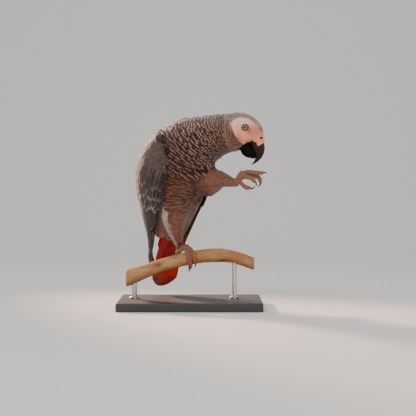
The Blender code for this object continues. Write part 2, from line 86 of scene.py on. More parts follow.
BODY_NODES = ("belly", "breast", "neck", "head")
THIGH_NODES = ("thigh_right", "thigh_left")
SHANK_NODES = ("shank_right", "shank_left")
TOE_NODES = tuple(f"toe_{side}_{digit}" for side in SIDES for digit in range(1, 5))
CLAW_NODES = tuple(name.replace("toe", "claw") for name in TOE_NODES)
WING_NODES = ("wing_coverts_right", "wing_coverts_left")
FOOT_NODES = SHANK_NODES + TOE_NODES

# The line through the middle of the bird from its tail to its face: x, y, z and the yaw of its
# width. Places along it are counted in rows.
SPINE = (
    (-0.0368, 0.0630, 0.0509, 57),
    (-0.0352, 0.0580, 0.0715, 57),
    (-0.0325, 0.0530, 0.0906, 57),
    (-0.0298, 0.0490, 0.1080, 57),
    (-0.0274, 0.0440, 0.1283, 57),
    (-0.0246, 0.0370, 0.1514, 57),
    (-0.0220, 0.0300, 0.1742, 57),
    (-0.0184, 0.0230, 0.1969, 57),
    (-0.0105, 0.0130, 0.2165, 54),
    (0.0032, -0.0010, 0.2288, 46),
    (0.0208, -0.0140, 0.2360, 34),
    (0.0373, -0.0240, 0.2411, 22),
    (0.0509, -0.0310, 0.2436, 14),
    (0.0630, -0.0360, 0.2452, 8),
    (0.0739, -0.0390, 0.2460, 5),
    (0.0834, -0.0405, 0.2445, 5),
    (0.0905, -0.0410, 0.2405, 5),
    (0.0955, -0.0412, 0.2360, 5),
)
THIGH_LINES = {
    "right": (
        (-0.0311, 0.0180, 0.1615, 57),
        (-0.0270, 0.0120, 0.1500, 57),
        (-0.0242, 0.0100, 0.1350, 57),
        (-0.0228, 0.0115, 0.1200, 57),
        (-0.0205, 0.0140, 0.1060, 57),
        (-0.0180, 0.0165, 0.0940, 57),
        (-0.0162, 0.0180, 0.0845, 57),
    ),
    "left": (
        (0.0057, 0.0160, 0.1771, 30),
        (0.0150, 0.0030, 0.1790, 35),
        (0.0260, -0.0060, 0.1805, 38),
        (0.0345, -0.0130, 0.1803, 40),
        (0.0415, -0.0185, 0.1800, 40),
        (0.0503, -0.0260, 0.1775, 42),
        (0.0580, -0.0330, 0.1752, 42),
        (0.0622, -0.0366, 0.1740, 42),
    ),
}
TAIL_ROOT = Vector((-0.0262, 0.0468, 0.1150))
TAIL_TIP = Vector((-0.0436, 0.0685, 0.0240))
TAIL_YAW = 57.0
SHOULDER_ROW = 7
FAR = 1e9


# ---------------------------------------------------------------- small tools


def smooth(value: Array, low: float, high: float) -> Array:
    """The smooth step from 0 at low to 1 at high."""
    t = np.clip((value - low) / (high - low), 0.0, 1.0)
    return t * t * (3 - 2 * t)


def unit(vectors: Array) -> Array:
    """The vectors at length one."""
    return vectors / np.maximum(np.linalg.norm(vectors, axis=-1, keepdims=True), 1e-12)


def table(rows: Rows, at: Array | float, column: int) -> Array:
    """A column of a table, read between its rows at values of its first column.

    Args:
        rows: Rows whose first value rises from one to the next.
        at: Where to read.
        column: Which value of the rows to read.

    Returns:
        The values, as linear between the rows.
    """
    return np.interp(at, [row[0] for row in rows], [row[column] for row in rows])


def linear(red: float, green: float, blue: float) -> Colour:
    """A colour given in 0 to 255 as the eye sees it, as the linear one that a shader takes."""

    def channel(value: float) -> float:
        share = value / 255
        return share / 12.92 if share <= 0.04045 else ((share + 0.055) / 1.055) ** 2.4

    return channel(red), channel(green), channel(blue)


def mix(a: Array, b: Array | Colour, share: Array | float) -> Array:
    """Rows of colours between a and b."""
    share = np.asarray(share, float)[..., None]
    return np.asarray(a) * (1 - share) + np.asarray(b) * share


def toned(shades: Shades, tones: Sequence[Colour], share: Array | float) -> Shades:
    """Middles' and rims' colours moved by a share towards two eye colours."""
    core, edge = (mix(shade, linear(*tone), share) for shade, tone in zip(shades, tones))
    return core, edge


def ripple(a: Array, b: Array, seed: float) -> Array:
    """A soft wavy value from -1 to 1 over two coordinates, the same each run."""
    return (
        np.sin(a * 1.7 + b * 2.3 + seed)
        + np.sin(a * 3.1 - b * 1.9 + seed * 2.1)
        + np.sin(-a * 2.3 + b * 4.1 + seed * 0.7)
    ) / 3


class Surface:
    """A mesh that points are found on."""

    def __init__(self, points: Array, faces: Sequence[Sequence[int]]) -> None:
        """Builds the search tree from points and faces."""
        self.tree = BVHTree.FromPolygons([Vector(p) for p in points], faces)

    def nearest(self, points: Array) -> tuple[Array, Array, Array]:
        """The nearest places to some points.

        Args:
            points: Array (n, 3).

        Returns:
            The places, the faces' normals there and the distances.
        """
        places = np.empty((len(points), 3))
        normals = np.empty((len(points), 3))
        distances = np.empty(len(points))
        for i, point in enumerate(points):
            place, normal, _, distance = self.tree.find_nearest(Vector(point))
            places[i] = place
            normals[i] = normal
            distances[i] = distance
        return places, normals, distances

    def gaps(self, points: Array) -> Array:
        """The distances from some points to the mesh."""
        return self.nearest(points)[2]

    def cast(self, start: Vector, way: Vector, reach: float) -> Vector | None:
        """The first place that a ray meets, or None."""
        return self.tree.ray_cast(start, way, reach)[0]


def merged_copy(names: Iterable[str], nodes: dict, grow: float = 0.0) -> bmesh.types.BMesh:
    """Copies of nodes in one mesh, their loose triangles sewn together.

    Args:
        names: The nodes.
        nodes: The frame's nodes by name.
        grow: How far the copies swell along their normals.

    Returns:
        The mesh, which the caller frees.
    """
    made = bmesh.new()
    for name in names:
        one = bmesh.new()
        one.from_mesh(nodes[name].data)
        bmesh.ops.remove_doubles(one, verts=one.verts, dist=1e-6)
        one.normal_update()
        if grow:
            moves = [v.normal * grow for v in one.verts]
            for vertex, move in zip(one.verts, moves):
                vertex.co += move
        mesh = bpy.data.meshes.new("copy")
        one.to_mesh(mesh)
        one.free()
        made.from_mesh(mesh)
        bpy.data.meshes.remove(mesh)
    return made


def add_ball(bm: bmesh.types.BMesh, fineness: int, centre: Vector, half: Sequence[float]) -> None:
    """Adds an ellipsoid of three half sizes to a mesh."""
    shape = Matrix.Translation(centre) @ Matrix.Diagonal((*half, 1.0))
    bmesh.ops.create_icosphere(bm, subdivisions=fineness, radius=1.0, matrix=shape)


def surface_of(names: Iterable[str], nodes: dict) -> Surface:
    """The surface of some nodes."""
    copy = merged_copy(names, nodes)
    bmesh.ops.triangulate(copy, faces=copy.faces)
    copy.verts.index_update()
    points = np.array([v.co for v in copy.verts])
    faces = [[v.index for v in f.verts] for f in copy.faces]
    copy.free()
    return Surface(points, faces)


def add_piece(name: str, mesh: Mesh) -> Piece:
    """Puts a mesh in the scene as an object at the origin."""
    piece = bpy.data.objects.new(name, mesh)
    bpy.context.scene.collection.objects.link(piece)
    return piece


def from_bmesh(name: str, bm: bmesh.types.BMesh) -> Piece:
    """Turns a bmesh into a smooth-shaded object and frees it."""
    mesh = bpy.data.meshes.new(name)
    bm.to_mesh(mesh)
    bm.free()
    mesh.shade_smooth()
    return add_piece(name, mesh)


@contextmanager
def opened(piece: Piece) -> Iterator[bmesh.types.BMesh]:
    """A piece's mesh opened for editing, and written back afterwards."""
    bm = bmesh.new()
    bm.from_mesh(piece.data)
    yield bm
    bm.to_mesh(piece.data)
    bm.free()


def lofted(name: str, rows: Sequence[Rows], looped: bool = False) -> Piece:
    """A closed shape through rings of points.

    Args:
        name: The object's name.
        rows: The rings, with the same number of points in each.
        looped: Whether the last ring joins the first, instead of both being capped.

    Returns:
        The object.
    """
    bm = bmesh.new()
    rings = [[bm.verts.new(point) for point in row] for row in rows]
    for low, high in zip(rings, rings[1:] + rings[:1] if looped else rings[1:]):
        for k in range(len(low)):
            m = (k + 1) % len(low)
            bm.faces.new((low[k], low[m], high[m], high[k]))
    if not looped:
        bm.faces.new(rings[0][::-1])
        bm.faces.new(rings[-1])
    bmesh.ops.recalc_face_normals(bm, faces=bm.faces)
    return from_bmesh(name, bm)


def box_middle(name: str) -> Vector:
    """The middle of a node's box."""
    low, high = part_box(name)
    return (low + high) / 2


def in_boxes(points: Array, names: Sequence[str], margin: float) -> Array:
    """Which points lie in any of some nodes' boxes, grown by a margin."""
    low = np.array([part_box(name)[0] for name in names]) - margin
    high = np.array([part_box(name)[1] for name in names]) + margin
    return ((points[:, None, :] > low) & (points[:, None, :] < high)).all(-1).any(1)


def applied(piece: Piece) -> Piece:
    """Applies an object's modifiers, leaving a plain mesh."""
    graph = bpy.context.evaluated_depsgraph_get()
    mesh = bpy.data.meshes.new_from_object(
        piece.evaluated_get(graph), preserve_all_data_layers=True, depsgraph=graph
    )
    old = piece.data
    piece.modifiers.clear()
    piece.data = mesh
    bpy.data.meshes.remove(old)
    mesh.name = piece.name
    return piece


def remeshed(name: str, bm: bmesh.types.BMesh, voxel: float, rounds: int) -> Piece:
    """One closed, evenly meshed and smoothed solid from a rough one.

    Args:
        name: The new object's name.
        bm: The rough solid, which is freed.
        voxel: The new mesh's spacing.
        rounds: How many times it is smoothed.

    Returns:
        The object.
    """
    piece = from_bmesh(name, bm)
    remesh = piece.modifiers.new("remesh", "REMESH")
    remesh.mode = "VOXEL"
    remesh.voxel_size = voxel
    remesh.adaptivity = 0.0
    soften = piece.modifiers.new("soften", "SMOOTH")
    soften.factor = 0.5
    soften.iterations = rounds
    applied(piece)
    piece.data.shade_smooth()
    return piece


def vertex_arrays(mesh: Mesh) -> tuple[Array, Array]:
    """A mesh's vertex places and normals as arrays (n, 3)."""
    places = np.empty(len(mesh.vertices) * 3, np.float32)
    mesh.vertices.foreach_get("co", places)
    normals = np.empty(len(mesh.vertices) * 3, np.float32)
    mesh.vertex_normals.foreach_get("vector", normals)
    return places.reshape(-1, 3).astype(float), normals.reshape(-1, 3).astype(float)


def neighbour_means(mesh: Mesh) -> Callable[[Array], Array]:
    """A function that averages one value over the neighbours of each of a mesh's vertices."""
    edges = np.empty(len(mesh.edges) * 2, np.int32)
    mesh.edges.foreach_get("vertices", edges)
    a, b = edges.reshape(-1, 2).T
    size = len(mesh.vertices)
    count = np.maximum(np.bincount(edges, minlength=size), 1)
    return lambda values: (np.bincount(a, values[b], size) + np.bincount(b, values[a], size)) / count


def set_places(mesh: Mesh, places: Array) -> None:
    """Moves a mesh's vertices."""
    mesh.vertices.foreach_set("co", places.astype(np.float32).ravel())
    mesh.update()


def set_attribute(mesh: Mesh, name: str, kind: str, values: Array) -> None:
    """Stores values on a mesh's vertices.

    Args:
        mesh: The mesh.
        name: The attribute's name.
        kind: FLOAT, INT, FLOAT_VECTOR or FLOAT_COLOR.
        values: One value, vector or colour (three channels) for each vertex.
    """
    if kind == "FLOAT_COLOR":
        values = np.column_stack([values, np.ones(len(values))])
    channel = {"FLOAT_COLOR": "color", "FLOAT_VECTOR": "vector"}.get(kind, "value")
    values = values.astype(np.int32 if kind == "INT" else np.float32)
    mesh.attributes.new(name, kind, "POINT").data.foreach_set(channel, values.ravel())


def finish_piece(
    piece: Piece,
    replaces: Sequence[str] = (),
    material: Material | None = None,
) -> Piece:
    """Registers a finished piece with the frame and logs it.

    Args:
        piece: The object, in place.
        replaces: Nodes that the piece stands for.
        material: Its material, if it has none yet.

    Returns:
        The object.
    """
    if material:
        piece.data.materials.clear()
        piece.data.materials.append(material)
    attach(piece, "root")
    if replaces:
        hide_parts(*replaces)
    piece.data.calc_loop_triangles()
    LOG.info("%s: %d triangles", piece.name, len(piece.data.loop_triangles))
    return piece


# ---------------------------------------------------------------- lines and charts


class Line:
    """A smooth line through guide rows, with a frame of directions along it."""

    def __init__(self, rows: Rows) -> None:
        """Takes rows of x, y, z and the yaw of the width."""
        self.rows = np.array(rows, float)
        self.last = len(rows) - 1

    def read(self, at: float) -> Array:
        """The row at a place counted in rows, smooth between them and straight past the ends."""
        index = int(min(max(math.floor(at), 0), self.last - 1))
        t = at - index
        p = self.rows[max(index - 1, 0)]
        q = self.rows[index]
        r = self.rows[index + 1]
        s = self.rows[min(index + 2, self.last)]
        if t < 0 or t > 1:
            return q + (r - q) * t
        return q + 0.5 * t * (r - p + t * (2 * p - 5 * q + 4 * r - s + t * (3 * (q - r) + s - p)))

    def frame(self, at: float) -> tuple[Vector, Vector, Vector, Vector]:
        """The centre, direction, left and upper side at a place."""
        step = 0.05
        here = self.read(at)
        direction = Vector(self.read(at + step)[:3] - self.read(at - step)[:3]).normalized()
        yaw = math.radians(here[3])
        left = Vector((math.sin(yaw), math.cos(yaw), 0))
        left = (left - direction * left.dot(direction)).normalized()
        return Vector(here[:3]), direction, left, direction.cross(left)

    def centres(self, at: Array) -> Array:
        """The line's points at some places."""
        return np.array([self.read(place)[:3] for place in at])

    def near(self, points: Array) -> Array:
        """The nearest place on the line to each point."""
        samples = np.linspace(0, self.last, 10 * self.last + 1)
        gaps = ((points[:, None, :] - self.centres(samples)[None]) ** 2).sum(-1)
        return samples[gaps.argmin(1)]

    def unwrap(self, points: Array) -> tuple[Array, Array]:
        """Points' places along the line and their turns round it, in radians."""
        at = self.near(points)
        turns = np.empty(len(points))
        for i, (point, place) in enumerate(zip(points, at)):
            centre, _, left, above = self.frame(place)
            offset = Vector(point) - centre
            turns[i] = math.atan2(offset.dot(above), offset.dot(left))
        return at, turns


class Chart:
    """A grid of places on a surface, read smoothly by two coordinates.

    The first coordinate runs along the lie of the feathers or against it, and the second runs
    across it.
    """

    def __init__(self, first: Array, second: Array, places: Array) -> None:
        """Takes the two coordinates' grid lines and the places (rows, columns, 3)."""
        self.first = first
        self.second = second
        self.places = places

    def at(self, first: Array, second: Array) -> Array:
        """The places at pairs of coordinates."""
        a = np.interp(first, self.first, np.arange(len(self.first)))
        b = np.interp(second, self.second, np.arange(len(self.second)))
        i = np.clip(a.astype(int), 0, len(self.first) - 2)
        j = np.clip(b.astype(int), 0, len(self.second) - 2)
        u = (a - i)[..., None]
        v = (b - j)[..., None]
        grid = self.places
        low = grid[i, j] * (1 - v) + grid[i, j + 1] * v
        high = grid[i + 1, j] * (1 - v) + grid[i + 1, j + 1] * v
        return low * (1 - u) + high * u


def chart_mesh(chart: Chart) -> tuple[Array, list[list[int]]]:
    """A chart's grid as points and faces."""
    rows, columns = chart.places.shape[:2]
    faces = [
        [i * columns + j, i * columns + j + 1, (i + 1) * columns + j + 1, (i + 1) * columns + j]
        for i in range(rows - 1)
        for j in range(columns - 1)
    ]
    return chart.places.reshape(-1, 3), faces


def tube_chart(line: Line, surface: Surface, start: float, end: float, rings: int) -> Chart:
    """A chart of the skin round a line, by place on the line and turn round it.

    Args:
        line: The line, inside the skin.
        surface: The skin.
        start: The first place.
        end: The last place.
        rings: How many rings are read.

    Returns:
        The chart, whose second coordinate is the turn in radians.
    """
    first = np.linspace(start, end, rings)
    second = np.linspace(-math.pi, math.pi, 73)
    places = np.empty((rings, len(second), 3))
    for i, at in enumerate(first):
        centre, _, left, above = line.frame(at)
        for j, turn in enumerate(second):
            way = left * math.cos(turn) + above * math.sin(turn)
            hit = surface.cast(centre, way, 0.12)
            places[i, j] = hit if hit else centre + way * 0.002
    return Chart(first, second, places)


# ---------------------------------------------------------------- markings


def inside_outline(a: Array, b: Array, outline: Rows) -> Array:
    """How far points lie inside a closed outline, below zero outside it.

    Args:
        a: First coordinates of the points.
        b: Second coordinates.
        outline: The corners in order.

    Returns:
        Signed distances to the outline.
    """
    corners = np.array(outline)
    inside = np.zeros(len(a), bool)
    best = np.full(len(a), FAR)
    for p, q in zip(corners, np.roll(corners, -1, axis=0)):
        crosses = (p[1] > b) != (q[1] > b)
        rise = q[1] - p[1]
        meet = p[0] + (q[0] - p[0]) * (b - p[1]) / (rise if rise else 1e-9)
        inside ^= crosses & (a < meet)
        edge = q - p
        t = np.clip(((a - p[0]) * edge[0] + (b - p[1]) * edge[1]) / (edge @ edge), 0, 1)
        best = np.minimum(best, np.hypot(a - p[0] - t * edge[0], b - p[1] - t * edge[1]))
    return np.where(inside, best, -best)


class Markings:
    """The bird's colours at any place on it, with some painted light and shade, which its skin and its coat
    share.
    """

    # The bare face, seen from the side: forward of and above the eye, in millimetres.
    FACE = (
        (-19.2, 4.5), (-16.6, 10.2), (-9.0, 13.2), (-1.0, 13.6), (7.4, 10.2), (13.0, 4.2), (17.6, -1.2),
        (21.6, -6.2), (34.0, -8.0), (34.0, -40.0), (8.0, -34.0), (5.0, -23.6), (-3.0, -22.6),
        (-9.4, -18.6), (-13.0, -12.0), (-16.4, -3.0),
    )
    # The lower edge of the cere over the upper bill, closed above it.
    CERE = (
        (8.0, -19.2), (13.4, -19.4), (14.9, -24.4), (17.2, -24.2), (20.8, -21.8), (23.6, -19.6),
        (25.4, -16.8), (34.0, -12.0), (34.0, 0.0), (8.0, 0.0),
    )
    NOSTRIL = (20.2, -13.9)
    # The strip down the right thigh, pale down with a painted highlight of light from behind: height, its
    # middle in x, and its half width in mm.
    PALE_AND_LIT_STRIP = (
        (0.083, -0.0180, 2.8),
        (0.0892, -0.0213, 3.2),
        (0.105, -0.0290, 4.2),
        (0.121, -0.0352, 4.8),
        (0.146, -0.0378, 4.4),
    )
    # Soft patches of colour on the bare face: forward, above, reach, colour and strength. The last, dark
    # brown one, just forward of and below the eye, is painted shadow.
    FACE_PATCHES = (
        (-2.0, 10.5, 6.5, (214, 200, 198), 0.8),
        (-13.5, 6.0, 4.5, (226, 196, 188), 0.7),
        (10.0, 7.0, 4.5, (240, 196, 170), 0.7),
        (14.0, -5.0, 6.5, (190, 112, 80), 0.6),
        (7.0, -8.0, 5.0, (204, 126, 94), 0.55),
        (-6.0, -9.0, 4.0, (236, 160, 128), 0.5),
        (0.0, -15.5, 5.5, (236, 178, 152), 0.7),
        (-10.0, -17.5, 6.5, (150, 92, 64), 0.85),
        (3.0, -21.5, 4.5, (184, 116, 86), 0.8),
        (21.0, -19.5, 4.0, (236, 174, 150), 0.8),
        (11.0, -19.0, 2.5, (196, 140, 96), 0.7),
        # Painted shadow forward of and below the eye.
        (5.2, -3.4, 4.0, (120, 78, 56), 0.75),
    )
    # A feather's middle and rim down the belly and along the neck, by place on the spine.
    BELLY = (
        (2.0, (168, 138, 128), (190, 160, 150)),
        (3.2, (128, 94, 80), (156, 120, 104)),
        (4.5, (80, 50, 37), (124, 86, 67)),
        (6.4, (66, 38, 27), (116, 76, 57)),
        (8.0, (58, 31, 22), (110, 70, 52)),
    )
    NECK = (
        (8.0, (38, 20, 14), (114, 76, 60)),
        (9.6, (36, 19, 13), (140, 102, 85)),
        (11.0, (50, 30, 22), (170, 132, 114)),
        (12.4, (66, 41, 30), (154, 114, 94)),
        (14.0, (86, 58, 44), (160, 120, 100)),
        (17.0, (130, 98, 82), (190, 154, 134)),
    )

    def __init__(self, eyes: dict[str, Vector], line: Line) -> None:
        """Takes the eyes' centres by side and the line through the body."""
        self.middle = (eyes["right"] + eyes["left"]) / 2
        self.left = (eyes["left"] - eyes["right"]).normalized()
        self.forward = self.left.cross(UP).normalized()
        self.line = line

    def outward(self, side: str) -> Vector:
        """The direction out of the head on one side."""
        return self.left if side == "left" else -self.left

    def head_view(self, points: Array) -> tuple[Array, Array]:
        """Distances forward of the eyes and above them, in millimetres."""
        offset = (points - np.array(self.middle)) / MM
        return offset @ np.array(self.forward), offset[:, 2]

    def face(self, points: Array) -> Array:
        """How bare the face is at each point, from 0, feathered, to 1."""
        forward, above = self.head_view(points)
        depth = inside_outline(forward, above, self.FACE) + 0.5 * ripple(forward, above, 1.0)
        return smooth(depth, -0.5, 0.7) * smooth(forward, -26.0, -20.0)

    def nostril_gap(self, points: Array) -> Array:
        """The distance from each point to the nearer nostril, in millimetres."""
        forward, above = self.head_view(points)
        return np.hypot(forward - self.NOSTRIL[0], above - self.NOSTRIL[1])

    def wrinkles(self, forward: Array, above: Array) -> Array:
        """Fine folds below and behind the eye, from -1 to 1."""
        slant = above * 0.92 + forward * 0.28 + 0.9 * ripple(forward * 0.3, above * 0.22, 2.0)
        fade = smooth(-above, 4.5, 8.0) * smooth(-forward + 11, 0.0, 8.0)
        return np.sin(slant * 2 * math.pi / 2.1) * fade

    def skin_colour(self, points: Array, feet: Array) -> Array:
        """The skin's colour: darker under the feathers as painted shade, pale on the face with painted warm
        reflected light and a painted shadow, brown on the feet.
        """
        forward, above = self.head_view(points)
        # Under the feathers the skin is painted darker than the plumage: painted shade where it shows in
        # gaps and creases.
        under = 0.62 * self.plumage(points)[0]
        wobble = 1.6 * ripple(forward * 0.3, above * 0.3, 7.0) + 0.8 * ripple(forward, above, 3.0)
        # Pale skin above and behind the eye turns orange lower and forward: the orange is painted warm
        # reflected light.
        share = smooth(above * 0.8 - forward * 0.36 + wobble, -1.0, 11.0)
        share = np.maximum(share, smooth(-forward + 0.30 * above + wobble, 4.0, 15.0))
        face = mix(linear(236, 156, 120), linear(228, 180, 164), share)
        # One of these patches, just forward of and below the eye, is painted shadow.
        for across, over, reach, tone, strength in self.FACE_PATCHES:
            gap = np.hypot(forward - across, above - over) + 0.7 * wobble
            face = mix(face, linear(*tone), strength * np.exp(-((gap / reach) ** 2)))
        face = mix(face, linear(206, 116, 82), 0.24 * smooth(self.wrinkles(forward, above), 0.1, 0.9))
        mottle = smooth(ripple(forward * 1.5, above * 1.4, 9.0), 0.1, 0.6)
        face = mix(face, linear(200, 120, 92), 0.20 * mottle)
        face = mix(face, linear(236, 214, 212), 0.75 * self.granules(forward, above))
        rim = smooth(np.hypot(forward, above), 4.3, 6.0)
        face = mix(linear(112, 80, 56), face, rim)
        # The nostrils are painted near-black: painted shade in their openings.
        face = mix(face, linear(8, 5, 5), 1 - smooth(self.nostril_gap(points), 1.45, 2.0))
        colour = mix(under, face, self.face(points))
        gape = 1 - smooth(np.hypot(forward - 7.0, (above + 22.0) * 1.1), 3.8, 4.8)
        colour = mix(colour, linear(9, 6, 5), gape)
        return mix(colour, linear(142, 92, 70), feet)

    def granules(self, forward: Array, above: Array) -> Array:
        """The pale grains of skin behind and above the eye, from 0 to 1."""
        radius = np.hypot(forward, above)
        arc = np.exp(-(((radius - 6.2) / 1.3) ** 2)) * smooth(above - 0.9 * forward, 1.5, 4.5)
        return arc * smooth(np.sin(forward * 5.2 + above) * np.sin(above * 5.0 - forward), -0.5, 0.3)

    def plumage(self, points: Array) -> Shades:
        """The dark middle and the pale rim of the feathers that grow at some points, with painted shade and
        highlight in places.

        Args:
            points: Array (n, 3) of roots on the body, the head or the thighs.

        Returns:
            Two arrays of colours (n, 3).
        """
        at = self.line.near(points)
        forward, above = self.head_view(points)
        west = smooth(-points[:, 0], 0.016, 0.032)
        below = self.shades(self.BELLY, at + np.maximum(4.8 - at, 0.0) * (1 - west))
        beside = self.shades(self.NECK, at)
        wavy = points[:, 2] + 0.003 * ripple(points[:, 0] * 90, points[:, 1] * 90, 2.0)
        share = np.maximum(smooth(wavy, 0.184, 0.198), smooth(at, 8.4, 9.2))
        core, edge = (mix(belly, neck, share) for belly, neck in zip(below, beside))
        rise = unit(points - self.line.centres(at))[:, 2]
        top = smooth(rise, 0.05, 0.9) * smooth(at, 7.0, 9.5)
        core = mix(core, linear(92, 72, 64), 0.75 * top)
        edge = mix(edge, linear(176, 152, 142), 0.6 * top)
        # Painted shade: the lower belly on the forward (+x) side is darkened and warmed, and the underside
        # of the neck is darkened.
        east_shade = smooth(points[:, 0], -0.002, 0.012) * smooth(-points[:, 2], -0.172, -0.158)
        throat_shade = smooth(-rise, 0.05, 0.7) * smooth(at, 9.8, 11.4)
        shade = (1 - 0.3 * throat_shade)[:, None] * (1 - east_shade[:, None] * np.array((0.12, 0.34, 0.42)))
        crown = smooth(at, 12.2, 13.4) * smooth(above + 0.3 * forward, 0.0, 9.0)
        shades = toned((core * shade, edge * shade), ((122, 97, 87), (160, 132, 120)), 0.85 * crown)
        brow = smooth(forward, 9.0, 16.0)
        shades = toned(shades, ((170, 132, 112), (196, 158, 138)), 0.8 * brow)
        margin = inside_outline(forward, above, self.FACE)
        near = smooth(margin, -3.0, 0.0) * smooth(forward, -26.0, -20.0) * smooth(above, -10.0, 2.0)
        shades = toned(shades, ((188, 152, 138), (208, 176, 164)), 0.45 * near)
        return self.pale_and_lit_strip(points, shades)

    def pale_and_lit_strip(self, points: Array, shades: Shades) -> Shades:
        """Whitens the feathers of the strip that runs down the flank and the right thigh: pale down, with a
        painted highlight of the light that catches the thigh's edge from behind.
        """
        x, y, z = points.T
        wide = table(self.PALE_AND_LIT_STRIP, z, 2) * MM
        lit_strip_share = 1 - smooth(np.abs(x - table(self.PALE_AND_LIT_STRIP, z, 1)), 0.5 * wide, 1.15 * wide)
        lit_strip_share = lit_strip_share * smooth(-z, -0.1535, -0.1440) * smooth(-y, -0.040, -0.030)
        return toned(shades, ((160, 140, 136), (180, 164, 160)), 0.85 * lit_strip_share)

    @staticmethod
    def shades(rows: Sequence[Sequence], at: Array) -> list[Array]:
        """Middles' and rims' colours, read from rows of a place and two eye colours."""
        flat = [(row[0], *linear(*row[1]), *linear(*row[2])) for row in rows]
        return [np.stack([table(flat, at, first + k) for k in range(3)], -1) for first in (1, 4)]

    def fineness(self, points: Array) -> Array:
        """How much smaller feathers grow beside the bare face, as a share of their size."""
        forward, above = self.head_view(points)
        margin = -inside_outline(forward, above, self.FACE)
        return 0.55 + 0.45 * np.where(forward > -30, smooth(margin, 0.0, 7.0), 1.0)


# ---------------------------------------------------------------- materials


class Wiring:
    """A tree of nodes, with short ways to add to it."""

    tree: bpy.types.NodeTree

    def add(self, kind: str, inputs: dict | None = None, **settings: object) -> bpy.types.Node:
        """Adds a node.

        Args:
            kind: The node's type.
            inputs: Values or sockets for its inputs, by name or number.
            settings: Its own settings.

        Returns:
            The node.
        """
        node = self.tree.nodes.new(kind)
        for key, value in settings.items():
            setattr(node, key, value)
        for key, value in (inputs or {}).items():
            self.feed(node.inputs[key], value)
        return node

    def feed(self, socket: Socket, value: object) -> None:
        """Links a socket to another, or sets its value."""
        if isinstance(value, Socket):
            self.tree.links.new(value, socket)
        else:
            socket.default_value = value

    def math(self, operation: str, a: object, b: object = 0.0, c: object = 0.0) -> Socket:
        """A sum on two values, or on three for MULTIPLY_ADD."""
        node = self.add("ShaderNodeMath", {0: a, 1: b}, operation=operation)
        if operation == "MULTIPLY_ADD":
            self.feed(node.inputs[2], c)
        return node.outputs[0]

    def times(self, a: object, b: object) -> Socket:
        """The product of two values."""
        return self.math("MULTIPLY", a, b)

    def line(self, value: object, slope: object, start: object) -> Socket:
        """A value times a slope, on top of a start."""
        return self.math("MULTIPLY_ADD", value, slope, start)

    def rest(self, value: object) -> Socket:
        """One less a value."""
        return self.math("SUBTRACT", 1.0, value)


class Recipe(Wiring):
    """A material being put together."""

    def __init__(self, name: str) -> None:
        """Starts a material with a Principled shader."""
        self.material = bpy.data.materials.new(name)
        self.material.use_nodes = True
        self.tree = self.material.node_tree
        self.shader = self.tree.nodes["Principled BSDF"]

    def settle(self, **values: object) -> None:
        """Sets or links the main shader's sockets, underscores standing for spaces."""
        for key, value in values.items():
            self.feed(self.shader.inputs[key.replace("_", " ")], value)

    def step(self, value: object, low: float, high: float) -> Socket:
        """The smooth step of a value from low to high."""
        inputs = {0: value, 1: low, 2: high, 3: 0.0, 4: 1.0}
        return self.add("ShaderNodeMapRange", inputs, interpolation_type="SMOOTHSTEP").outputs[0]

    def colour(self, share: object, a: object, b: object, mode: str = "MIX") -> Socket:
        """A colour between a and b."""
        node = self.add("ShaderNodeMix", data_type="RGBA", blend_type=mode, clamp_result=True)
        for index, value in ((0, share), (6, a), (7, b)):
            if isinstance(value, tuple) and len(value) == 3:
                value = (*value, 1.0)
            self.feed(node.inputs[index], value)
        return node.outputs[2]

    def dimmed(self, colour: object, tone: object) -> Socket:
        """A colour times a grey tone."""
        grey = self.add("ShaderNodeCombineColor", {0: tone, 1: tone, 2: tone}).outputs[0]
        return self.colour(1.0, colour, grey, "MULTIPLY")

    def attribute(self, name: str, output: str = "Fac") -> Socket:
        """A mesh attribute's value."""
        return self.add("ShaderNodeAttribute", attribute_name=name).outputs[output]

    def place(self, scale: Sequence[float] = (1, 1, 1), pitch: float = 0.0) -> Socket:
        """The place on the object, scaled and turned about the Y axis."""
        source = self.add("ShaderNodeTexCoord").outputs["Object"]
        inputs = {"Vector": source, "Scale": scale, "Rotation": (0, pitch, 0)}
        return self.add("ShaderNodeMapping", inputs).outputs[0]

    def noise(self, vector: object, scale: float, detail: float = 3.0, rough: float = 0.55) -> Socket:
        """Soft noise around one half."""
        inputs = {"Vector": vector, "Scale": scale, "Detail": detail, "Roughness": rough}
        return self.add("ShaderNodeTexNoise", inputs).outputs[0]

    def cells(self, vector: object, scale: float, feature: str = "DISTANCE_TO_EDGE") -> Socket:
        """Distances in a pattern of cells."""
        inputs = {"Vector": vector, "Scale": scale}
        return self.add("ShaderNodeTexVoronoi", inputs, feature=feature).outputs["Distance"]

    def bump(self, height: object, depth: float, strength: float) -> Socket:
        """A bumped normal.

        Args:
            height: The height field, from 0 to 1.
            depth: How deep one unit of it is, in metres.
            strength: How strongly it shows.

        Returns:
            The normal.
        """
        inputs = {"Height": height, "Distance": depth, "Strength": strength}
        return self.add("ShaderNodeBump", inputs).outputs[0]


@dataclass(frozen=True)
class Finish:
    """A named finish, which paints a material of its own."""

    name: str

    def material(self) -> Material:
        """Builds the material."""
        recipe = Recipe(self.name)
        self.paint(recipe)
        return recipe.material


